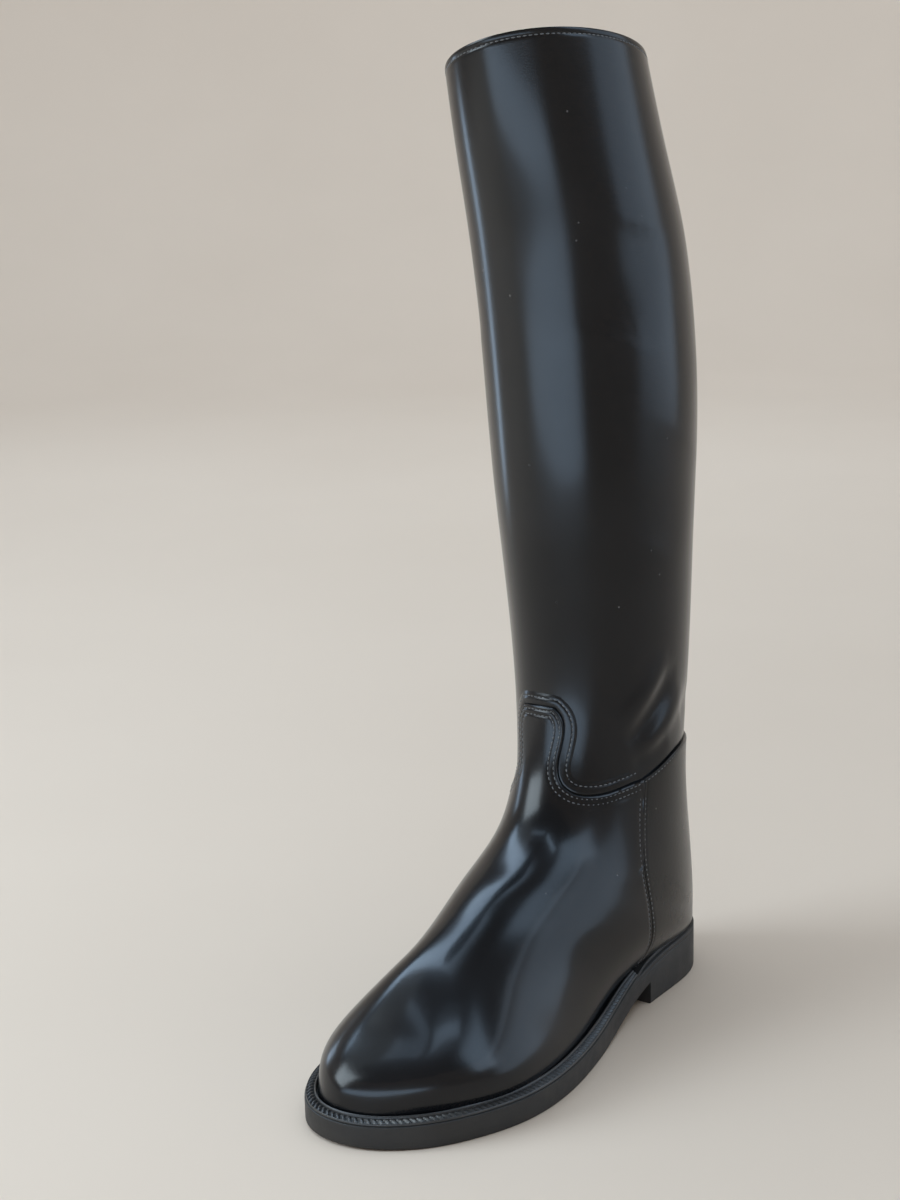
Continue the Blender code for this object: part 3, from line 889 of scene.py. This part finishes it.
def lining_leather(name):
    """Undyed tan lining, softly mottled."""
    tones = (
        (0.25, (0.2, 0.118, 0.042)),
        (0.5, (0.29, 0.178, 0.066)),
        (0.78, (0.37, 0.235, 0.094)),
    )
    mat, shader = mottled(name, 1.45, (28.0, 5.0, 0.62), tones, 60.0, (0.5, 0.68))
    grain = combine(mat, "ADD", cells(mat, 900.0), noise(mat, 300.0))
    bump(mat, shader, grain, 0.22, 0.0004)
    return mat


def raw_edge(name):
    """Cut edge of undyed leather: cream, with fibres."""
    tones = ((0.3, (0.5, 0.43, 0.25)), (0.7, (0.68, 0.61, 0.4)))
    mat, shader = mottled(name, 1.45, (260.0, 4.0), tones, 500.0, (0.65, 0.85))
    bump(mat, shader, noise(mat, 1400.0, 3.0), 0.35, 0.0004)
    return mat


def waxed_thread(name):
    tones = ((0.3, (0.06, 0.06, 0.062)), (0.7, (0.15, 0.146, 0.14)))
    mat, shader = mottled(name, 1.5, (700.0,), tones, 300.0, (0.38, 0.55))
    bump(mat, shader, noise(mat, 2600.0, 2.0), 0.3, 0.0002)
    return mat


def studio_floor(name):
    tones = ((0.3, (0.69, 0.59, 0.51)), (0.7, (0.72, 0.62, 0.54)))
    return mottled(name, 1.45, (1.5,), tones, 3.0, (0.8, 0.9))[0]


shaft_look = leather("shaft leather", (0.0022, 0.0025, 0.0032), (0.005, 0.005, 0.0058), (0.2, 0.27))
vamp_look = leather("vamp calf", (0.0022, 0.0025, 0.0032), (0.0055, 0.0053, 0.006), (0.2, 0.27))
counter_look = leather("counter calf", (0.003, 0.0029, 0.003), (0.007, 0.0066, 0.0062), (0.25, 0.33))
sole_look = rubber("sole compound", (0.0125, 0.0105, 0.009), (0.021, 0.018, 0.0155), (0.5, 0.66), 900.0)
welt_look = rubber("welt compound", (0.018, 0.0165, 0.0155), (0.042, 0.039, 0.037), (0.3, 0.42), 1200.0)
lining_look = lining_leather("tan lining")
edge_look = raw_edge("cut leather edge")
thread_look = waxed_thread("waxed thread")


# Pieces


def upper_rows(side, shares, shaft_rows, ankle_rows, foot_rows):
    """Stations and shares from the collar to the toe, fine just below the collar's edge."""
    start = np.array([collar_u(v, side) for v in shares])
    first = start + COLLAR_STEPS[:, None] / COLLAR_STATION
    low = start + COLLAR_STEPS[-1] / COLLAR_STATION
    t = np.linspace(0.0, 1.0, shaft_rows + 1)[1:, None]
    shaft = low + t * (U_ANKLE - low)
    ankle = np.linspace(U_ANKLE, U_HEEL, ankle_rows + 1)[1:]
    foot = np.linspace(U_HEEL, U_END, foot_rows + 1)[1:]
    rest = np.repeat(np.concatenate([ankle, foot])[:, None], len(shares), 1)
    u = np.vstack([first, shaft, rest])
    return np.stack([u, np.broadcast_to(shares, u.shape)], -1)


def collar_distance(sheet):
    """Distance of each point of a sheet below the collar's edge."""
    rows = np.array(sheet.places)
    starts = {place: collar_u(*place) for place in {place[1:] for place in sheet.places}}
    edge = np.array([starts[place[1:]] for place in sheet.places])
    return (rows[:, 0] - edge) * COLLAR_STATION


def collar_roll(below, deep, wide):
    """How far a layer turns towards the middle of the wall near the collar's edge."""
    return deep * (1.0 - np.clip(below / wide, 0.0, 1.0)) ** 2


def make_upper():
    sheet = Sheet()
    for side in (1, -1):
        sheet.grid(upper_rows(side, SHARES, *UPPER_ROWS), side)
    below = collar_distance(sheet)
    high = channel(below, COLLAR_ROW) - collar_roll(below, LEATHER_ROLL, LEATHER_ROLL_WIDE)
    return add_piece("shaft_leather", sheet.wall(-LEATHER, high), [shaft_look], sharp=0.9)


def make_lining():
    """Inner face of the wall; its cut top edge is left undyed."""
    sheet = Sheet()
    for side in (1, -1):
        sheet.grid(upper_rows(side, SHARES[::2], *LINING_ROWS), side)
    below = collar_distance(sheet)
    inside = collar_roll(below, LINING_ROLL, LINING_ROLL_WIDE) - WALL
    points, faces = sheet.wall(inside, -LEATHER - PLAY)
    near = np.concatenate([below, below])
    cell = [1 if max(near[p] for p in face) < CUT_EDGE else 0 for face in faces]
    return add_piece("lining", (points, faces), [lining_look, edge_look], cell, sharp=0.9)


def front_chain(side, count=60):
    """Front edge of the vamp: from the side seam up to the middle of the tab's top."""
    t = np.linspace(0.0, 1.0, count + 1)
    edge = np.vstack([tab_places(front_seam(t), side), tab_places(tab_edge(t), side)[1:]])
    top_u, top_v = edge[-1]
    top_shares = np.linspace(top_v, 1.0, TAB_TOP_STEPS + 1)[1:]
    top = np.stack([np.full(TAB_TOP_STEPS, top_u), top_shares], -1)
    return np.vstack([edge, top])


def side_chain(count=90, shift=0.0):
    """Side seam from the sole up to where the three layers meet."""
    places = side_seam(np.linspace(1.0, 0.0, count + 1))
    return places - (0.0, shift)


def back_chain(count=70):
    return back_seam(np.linspace(0.0, 1.0, count + 1))


def dense(places, side, step=0.25):
    """Points on the face along a chain, close together."""
    points = last(*places.T, side)
    run = run_along(points)
    return on_line(points, run, np.arange(0.0, run[-1], step))


def vamp_rows(side):
    """Grid from the side seams and the front edge to the toe, and the grid of the tab."""
    lower = side_seam(1.0 - np.linspace(0.0, 1.0, SIDE_STEPS + 1))
    front = tab_places(front_seam(np.linspace(0.0, 1.0, FRONT_STEPS + 1)[1:]), side)
    notch_u, notch_v = front[-1]
    inwards = graded(TAB_STEPS, finest=0.012)
    across = np.stack([np.full(TAB_STEPS, notch_u), notch_v + (1.0 - notch_v) * inwards[1:]], -1)
    start = np.vstack([lower, front, across])
    shares = np.concatenate([
        np.linspace(0.0, SEAM_SHARE, SIDE_STEPS + 1),
        np.linspace(SEAM_SHARE, NOTCH_SHARE, FRONT_STEPS + 1)[1:],
        NOTCH_SHARE + (1.0 - NOTCH_SHARE) * inwards[1:],
    ])
    target = np.stack([np.full_like(shares, FOOT_JOIN_U), shares], -1)
    t = graded(VAMP_ROWS_BACK, finest=0.004)[:, None, None]
    rows = start + t * (target - start)
    u = np.linspace(FOOT_JOIN_U, U_END, VAMP_ROWS_TOE + 1)[1:, None]
    rest = np.stack(np.broadcast_arrays(u, shares[None]), -1)
    # The tab stands on the row between the notches
    below_tab = start[-TAB_STEPS - 1:]
    tab = tab_places(tab_edge(graded(TAB_ROWS, finest=0.006, start=False)[::-1]), side)
    tab[-1] = below_tab[0]
    tab_rows = np.stack([
        np.repeat(tab[:, :1], TAB_STEPS + 1, 1),
        tab[:, 1:] + (1.0 - tab[:, 1:]) * inwards[None],
    ], -1)
    tab_rows[-1] = below_tab
    return np.vstack([rows, rest]), tab_rows


def layer_heights(sheet, lines, edge_rows, seam_row):
    """Height of a layer, rounded at its edges and pulled in by its stitch rows.

    The lines are edges in turn: the upper edge and the side seam of one side, then of the other.
    """
    distance, owner = distance_to(sheet.points(), lines)
    at_edge = sum(channel(distance, row) for row in edge_rows)
    grooves = np.where(owner % 2 == 0, at_edge, channel(distance, seam_row))
    return LAYER_EDGE + (LAYER_TOP - LAYER_EDGE) * rolled(distance) + grooves


def make_vamp():
    sheet = Sheet()
    lines = []
    for side in (1, -1):
        for rows in vamp_rows(side):
            sheet.grid(rows, side)
        lines.append(dense(front_chain(side), side))
        lines.append(dense(side_chain(), side))
    high = layer_heights(sheet, lines, VAMP_ROWS, SIDE_ROW)
    return add_piece("vamp_layer", sheet.wall(LAYER_FOOT, high), [vamp_look], sharp=1.0)


def counter_rows():
    """Grid between the back line, the ankle seam, the side seam and the sole, blended from its edges."""
    down = graded(COUNTER_ROWS, finest=0.006)
    fine = graded(COUNTER_FINE_STEPS, finest=0.03, start=False)
    across = np.concatenate([
        np.linspace(0.0, COUNTER_FINE_FROM, COUNTER_STEPS + 1)[:-1],
        COUNTER_FINE_FROM + (1.0 - COUNTER_FINE_FROM) * fine,
    ])
    gap = np.array((0.0, SEAM_SHARE_GAP * SEAM_OPEN))
    corner_back = np.array(SEAM_BACK[1])
    corner_front = np.array(SEAM_SIDE[1])
    corner_low = np.array(SEAM_SIDE[-1])
    corner_heel = np.array((U_HEEL - 0.03, 0.0))
    r, q = np.meshgrid(down, across, indexing="ij")
    r, q = r[..., None], q[..., None]
    low = corner_heel + q * (corner_low - corner_heel)
    back = corner_back + r * (corner_heel - corner_back)
    edges = (1 - r) * back_seam(q[..., 0]) + r * low + (1 - q) * back + q * side_seam(r[..., 0])
    corners = (1 - r) * ((1 - q) * corner_back + q * corner_front)
    corners = corners + r * ((1 - q) * corner_heel + q * corner_low)
    rows = edges - corners - q * gap
    rows[..., 1] = np.maximum(rows[..., 1], 0.0)
    rows[:, 0, 1] = 0.0
    return rows


def make_counter():
    sheet = Sheet()
    lines = []
    for side in (1, -1):
        sheet.grid(counter_rows()[:, ::-1], side)
        lines.append(dense(back_chain(), side))
        lines.append(dense(side_chain(shift=SEAM_SHARE_GAP * SEAM_OPEN), side))
    high = layer_heights(sheet, lines, (BACK_ROW,), HEEL_ROW)
    return add_piece("counter_layer", sheet.wall(LAYER_FOOT, high), [counter_look], sharp=1.0)


def beside(places, side, distance):
    """Chain moved over the face by distance, towards rising stations at its first point if positive."""
    u, v = places.T
    steps = np.stack(slopes(u, v, side), 1)
    heading = np.gradient(last(u, v, side), axis=0)
    away = np.cross(np.cross(steps[:, 0], steps[:, 1]), heading)
    away = away / np.linalg.norm(away, axis=1, keepdims=True)
    move = np.linalg.solve(steps @ steps.transpose(0, 2, 1), steps @ away[..., None])[..., 0]
    moved = places + move * distance * (1.0 if move[0, 0] > 0.0 else -1.0)
    moved[:, 1] = np.clip(moved[:, 1], 0.0, 1.0)
    return moved


def band_fade(count):
    """The band rises out of the shaft over its first steps."""
    return between(np.arange(count), *BAND_FADE)


def make_band():
    """Raised leather along the shaft's side of the front edge, where it turns over the vamp's lining."""
    halves = []
    for side in (1, -1):
        chain = front_chain(side, BAND_STEPS)
        fade = band_fade(len(chain))
        top = []
        low = []
        for away, lift in columns(BAND, "away", "lift"):
            u, v = beside(chain, side, away).T
            top.append(skin(u, v, side, lift * fade + BAND_SUNK * (1.0 - fade))[0])
            low.append(skin(u, v, side, BAND_FOOT)[0])
        around = top + low[::-1]
        points, faces = tube(np.stack(around, 1), capped=False)
        faces.append(list(range(len(around))))
        halves.append((points, faces))
    return add_piece("ankle_seam_band", joined(halves), [shaft_look], sharp=1.0)


def stitch_row(places, side, lift):
    """Short rounded stitches laid along a chain on the face."""
    points, outward = skin(*places.T, side, lift)
    run = run_along(points)
    t, thick = columns(STITCH_FORM, "along", "thick").T[..., None]
    dip = THREAD * STITCH_DIP * (2.0 * t - 1.0) ** 2
    spin = 2.0 * np.pi * np.arange(STITCH_SIDES)[:, None] / STITCH_SIDES
    stitches = []
    for middle in np.arange(PITCH * 0.5, run[-1], PITCH):
        first = on_line(points, run, middle - STITCH / 2.0)
        heading = on_line(points, run, middle + STITCH / 2.0) - first
        up = on_line(outward, run, middle)
        up = up / np.linalg.norm(up)
        across = np.cross(up, heading / np.linalg.norm(heading))
        centre = first + t * heading - dip * up
        ring = np.cos(spin) * across + np.sin(spin) * up
        stitches.append(tube(centre[:, None] + THREAD * thick[:, None] * ring))
    return stitches


def make_stitches():
    stitches = []
    shares = np.linspace(0.0, 1.0, 200)
    for side in (1, -1):
        collar = np.array([collar_u(v, side) for v in shares]) + COLLAR_ROW / COLLAR_STATION
        stitches += stitch_row(np.stack([collar, shares], -1), side, COLLAR_STITCH)
        chain = front_chain(side, BAND_STEPS)
        on_band = BAND_STITCH_START + BAND_STITCH_RISE * band_fade(len(chain))
        stitches += stitch_row(beside(chain, side, -SHAFT_ROW)[BAND_BARE:], side, on_band[BAND_BARE:])
        for distance in VAMP_ROWS:
            stitches += stitch_row(beside(chain, side, distance)[VAMP_BARE:], side, LAYER_STITCH)
        for distance in (SIDE_ROW, -HEEL_ROW):
            seam = beside(side_chain()[::-1], side, distance)
            stitches += stitch_row(seam[SEAM_BARE:], side, LAYER_STITCH)
        stitches += stitch_row(beside(back_chain(), side, BACK_ROW), side, LAYER_STITCH)
    return add_piece("stitches", joined(stitches), [thread_look])


def ladder(angles, levels):
    """Plate between matching points of both sides; levels are (inset, heights) from below."""
    steps = len(angles)
    points = []
    for level in levels:
        inset, height = (np.broadcast_to(value, steps) for value in level)
        for half in (angles, 2.0 * np.pi - angles):
            points.append(np.column_stack([outline(half, inset), height]))
    number = np.arange(len(points) * steps).reshape(len(levels), 2, steps)
    near, far = number[:, 0], number[:, 1]
    strips = (
        (near[0, :-1], near[0, 1:], far[0, 1:], far[0, :-1]),
        (far[-1, :-1], far[-1, 1:], near[-1, 1:], near[-1, :-1]),
        (near[:-1, 1:], near[:-1, :-1], near[1:, :-1], near[1:, 1:]),
        (far[:-1, :-1], far[:-1, 1:], far[1:, 1:], far[1:, :-1]),
    )
    faces = []
    for corners in strips:
        faces += np.stack(corners, -1).reshape(-1, 4).tolist()
    return np.vstack(points), faces


def make_sole():
    breast = turn(np.array((BREAST_S - BREAST_HALF, BREAST_S + BREAST_HALF)))
    angles = np.unique(np.concatenate([np.linspace(0.0, np.pi, SOLE_STEPS + 1), breast]))
    s = along(angles)
    under = sole_under(s)
    top = sole_top(s)
    heel = 1.0 - between(s, *HEEL_EDGE_S)
    levels = [(inset, under + above) for above, inset in columns(SOLE_FOOT, "above", "inset")]
    levels.append((0.0, 0.5 * (under + top)))
    for below, inset, heel_inset in columns(SOLE_EDGE, "below", "inset", "heel_inset"):
        levels.append((inset + heel_inset * heel, top - below))
    return add_piece("sole", ladder(angles, levels), [sole_look], sharp=0.7)


def make_footbed():
    angles = np.linspace(0.0, np.pi, FOOTBED_STEPS + 1)
    s = along(angles)
    clear = INSOLE_CLEAR + (INSOLE_HEEL_CLEAR - INSOLE_CLEAR) * between(s, *INSOLE_HEEL_S)
    edge = rim(angles) + LAYER_TOP + WALL + clear
    top = sole_top(s) + SEAT_GAP + INSOLE_THICK
    levels = [(edge + inset, top - below) for below, inset in columns(FOOTBED_EDGE, "below", "inset")]
    return add_piece("footbed", ladder(angles, levels), [lining_look], sharp=0.9)


def make_welt():
    """Strip on the sole's ledge: outer edge, slanted ticks and a raised bead beside the leather."""
    tries = np.linspace(turn(WELT_END_S), 2.0 * np.pi - turn(WELT_INNER_END_S), 4001)
    run = run_along(outline(tries, np.full_like(tries, WELT_MIDDLE)))
    marks = np.arange(0.0, run[-1], TICK_PITCH / TICK_STEPS)
    angles = np.interp(marks, run, tries)
    s = along(angles)
    inner = rim(angles) - WELT_CLEAR - WELT_WAIST_CLEAR * between(s, *WELT_WAIST_S) + WELT_CLOSE
    start = WELT_OUTER - WELT_WIDER
    room = inner - TICK_TO - (start + TICK_FROM)
    rows = [(start + inset, height) for inset, height in columns(WELT_EDGE, "inset", "height")]
    for share in TICK_SHARES:
        phase = marks / TICK_PITCH + TICK_SLANT * (share - 0.5)
        rib = ease(0.5 + 0.75 * np.cos(2.0 * np.pi * phase))
        crown = 0.55 + 0.45 * math.sin(math.pi * share)
        height = TICK_LOW + TICK_RISE * share + TICK_DEEP * rib * crown
        rows.append((start + TICK_FROM + room * share, height))
    rows += [(inner - out, height) for out, height in columns(WELT_BEAD, "out", "height")]
    points = np.stack([on_sole(angles, inset, lift) for inset, lift in rows], 1)
    return add_piece("welt_strip", tube(points), [welt_look], sharp=0.9)


upper_piece = make_upper()
lining_piece = make_lining()
vamp_piece = make_vamp()
heel_piece = make_counter()
band_piece = make_band()
stitch_piece = make_stitches()
sole_piece = make_sole()
welt_piece = make_welt()
footbed_piece = make_footbed()

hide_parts("upper")
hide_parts("vamp")
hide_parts("counter")
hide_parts("outsole")
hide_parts("welt")
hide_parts("insole")
piece_slots = (
    (upper_piece, "black_leather"),
    (lining_piece, "lining_leather"),
    (vamp_piece, "vamp_leather"),
    (heel_piece, "counter_leather"),
    (band_piece, "black_leather"),
    (stitch_piece, "black_leather"),
    (sole_piece, "sole_rubber"),
    (welt_piece, "welt_rubber"),
    (footbed_piece, "lining_leather"),
)
for piece, slot in piece_slots:
    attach(piece, "root")


# Stage, lights and camera

# Softboxes in metres; azimuth and elevation tell where the back of each one points
# Lit by them: 0 everything, 1 the boot alone, 2 the floor alone
LIGHTS = (
    ("x", "y", "z", "azimuth", "elevation", "roll", "wide", "high", "radiance", "lit"),
    (-1.16, -1.17, 0.93, -48.0, 30.0, 0.0, 1.3, 1.3, 7.5, 0),
    (-0.88, 0.1, 1.5, 0.0, 90.0, 12.7, 2.6, 0.56, 8.0, 1),
    (-0.08, -0.58, 1.5, 0.0, 90.0, -3.0, 0.9, 0.17, 3.2, 1),
    (0.6, -0.3, 1.5, 0.0, 90.0, 47.0, 0.85, 0.2, 5.5, 1),
    (1.56, 1.1, 0.5, 127.0, 0.0, 0.0, 1.9, 1.4, 1.5, 1),
    (1.56, 1.1, 0.85, 127.0, 0.0, 0.0, 1.7, 1.3, 2.3, 1),
    (1.47, 0.15, 1.14, 98.0, 36.0, 0.0, 0.95, 1.55, 3.2, 1),
    (0.13, -0.92, 0.106, 8.0, -13.0, -5.0, 1.7, 0.26, 4.2, 1),
    (-0.9, 0.0, 0.185, -90.0, 0.0, 0.0, 0.16, 0.36, 4.0, 1),
    (-1.06, -0.28, 1.9, -75.0, 60.0, 0.0, 1.8, 1.4, 0.6, 0),
    (-0.7, 1.0, 2.0, 36.8, 20.0, 0.0, 2.4, 0.6, 6.5, 0),
    (0.0, 0.3, 3.4, 0.0, 90.0, 0.0, 6.5, 6.5, 1.25, 2),
)
SOFT_EDGE = 0.45
LIGHT_COLOUR = (0.76, 0.9, 1.0)
BOOT_LIGHT_COLOUR = (0.58, 0.8, 1.06)
WORLD_COLOUR = (1.0, 0.96, 0.9, 1.0)
WORLD_LIGHT = 0.2
CAMERA_PLACE = (0.5272, -0.7740, 0.4432)
CAMERA_YAW = 36.17
CAMERA_PITCH = 13.10
CAMERA_ROLL = -1.37
CAMERA_LENS = 60.05
# Seamless sweep: a flat floor that curves up all round
FLOOR_FLAT = 2.6
FLOOR_CURVE = 1.3
FLOOR_WALL = 1.5
FLOOR_STEPS = 96


def add_floor():
    profile = [(r, 0.0) for r in np.linspace(0.0, FLOOR_FLAT, 9)]
    for bend in np.linspace(0.0, math.pi / 2.0, 13)[1:]:
        profile.append((FLOOR_FLAT + FLOOR_CURVE * math.sin(bend), FLOOR_CURVE * (1.0 - math.cos(bend))))
    profile.append((FLOOR_FLAT + FLOOR_CURVE, FLOOR_CURVE + FLOOR_WALL))
    radius, height = np.array(profile).T[..., None]
    spin = -2.0 * np.pi * np.arange(FLOOR_STEPS) / FLOOR_STEPS
    rings = np.broadcast_arrays(radius * np.cos(spin), radius * np.sin(spin), height)
    points, faces = tube(np.stack(rings, -1), capped=False)
    mesh = bpy.data.meshes.new("floor")
    mesh.from_pydata(points.tolist(), [], faces)
    mesh.shade_smooth()
    mesh.materials.append(studio_floor("studio floor"))
    item = bpy.data.objects.new("floor", mesh)
    bpy.context.scene.collection.objects.link(item)
    return item


def soften(lamp):
    """Let a softbox fade towards its edges."""
    lamp.use_nodes = True
    links = lamp.node_tree.links
    place = add_node(lamp, "ShaderNodeNewGeometry")
    split = add_node(lamp, "ShaderNodeSeparateXYZ")
    links.new(place.outputs["Parametric"], split.inputs[0])
    fades = []
    for share in (split.outputs[0], split.outputs[1]):
        far = combine(lamp, "ABSOLUTE", combine(lamp, "SUBTRACT", share, 0.5), 0.0)
        start = 0.5 - 0.5 * SOFT_EDGE
        fades.append(remap(lamp, far, start, 0.5, 1.0, 0.0, interpolation_type="SMOOTHSTEP"))
    links.new(combine(lamp, "MULTIPLY", *fades), lamp.node_tree.nodes["Emission"].inputs["Strength"])


def add_light(number, x, y, z, azimuth, elevation, roll, wide, high, radiance, lit):
    lamp = bpy.data.lights.new("softbox %d" % number, "AREA")
    lamp.shape = "RECTANGLE"
    lamp.size = wide
    lamp.size_y = high
    lamp.energy = radiance * math.pi * wide * high
    lamp.color = BOOT_LIGHT_COLOUR if lit == 1 else LIGHT_COLOUR
    soften(lamp)
    item = bpy.data.objects.new("softbox %d" % number, lamp)
    turned, raised = math.radians(azimuth), math.radians(elevation)
    away = Vector((
        math.sin(turned) * math.cos(raised), -math.cos(turned) * math.cos(raised), math.sin(raised),
    ))
    spin = Quaternion((0.0, 0.0, 1.0), math.radians(roll))
    item.location = (x, y, z)
    item.rotation_euler = (away.to_track_quat("Z", "Y") @ spin).to_euler()
    item.visible_camera = False
    bpy.context.scene.collection.objects.link(item)
    if lit:
        item.light_linking.receiver_collection = lit_groups[int(lit)]


def add_camera():
    yaw, pitch, roll = (math.radians(a) for a in (CAMERA_YAW, CAMERA_PITCH, CAMERA_ROLL))
    back = Vector((math.sin(yaw) * math.cos(pitch), -math.cos(yaw) * math.cos(pitch), math.sin(pitch)))
    right = (-back).cross(Vector((0.0, 0.0, 1.0))).normalized()
    up = right.cross(-back)
    side = math.cos(roll) * right + math.sin(roll) * up
    top = -math.sin(roll) * right + math.cos(roll) * up
    data = bpy.data.cameras.new("camera")
    data.lens = CAMERA_LENS
    data.sensor_width = 36.0
    data.sensor_fit = "AUTO"
    item = bpy.data.objects.new("camera", data)
    matrix = Matrix((side, top, back)).transposed().to_4x4()
    matrix.translation = Vector(CAMERA_PLACE)
    item.matrix_world = matrix
    bpy.context.scene.collection.objects.link(item)
    bpy.context.scene.camera = item


def add_world():
    world = bpy.data.worlds.new("studio")
    world.use_nodes = True
    back = world.node_tree.nodes["Background"]
    back.inputs["Color"].default_value = WORLD_COLOUR
    back.inputs["Strength"].default_value = WORLD_LIGHT
    bpy.context.scene.world = world


lit_groups = [None, bpy.data.collections.new("boot pieces"), bpy.data.collections.new("floor alone")]
for piece, slot in piece_slots:
    lit_groups[1].objects.link(piece)
lit_groups[2].objects.link(add_floor())
for number, row in enumerate(columns(LIGHTS, *LIGHTS[0]).tolist()):
    add_light(number, *row)
add_camera()
add_world()
bpy.context.scene.view_settings.view_transform = "Standard"
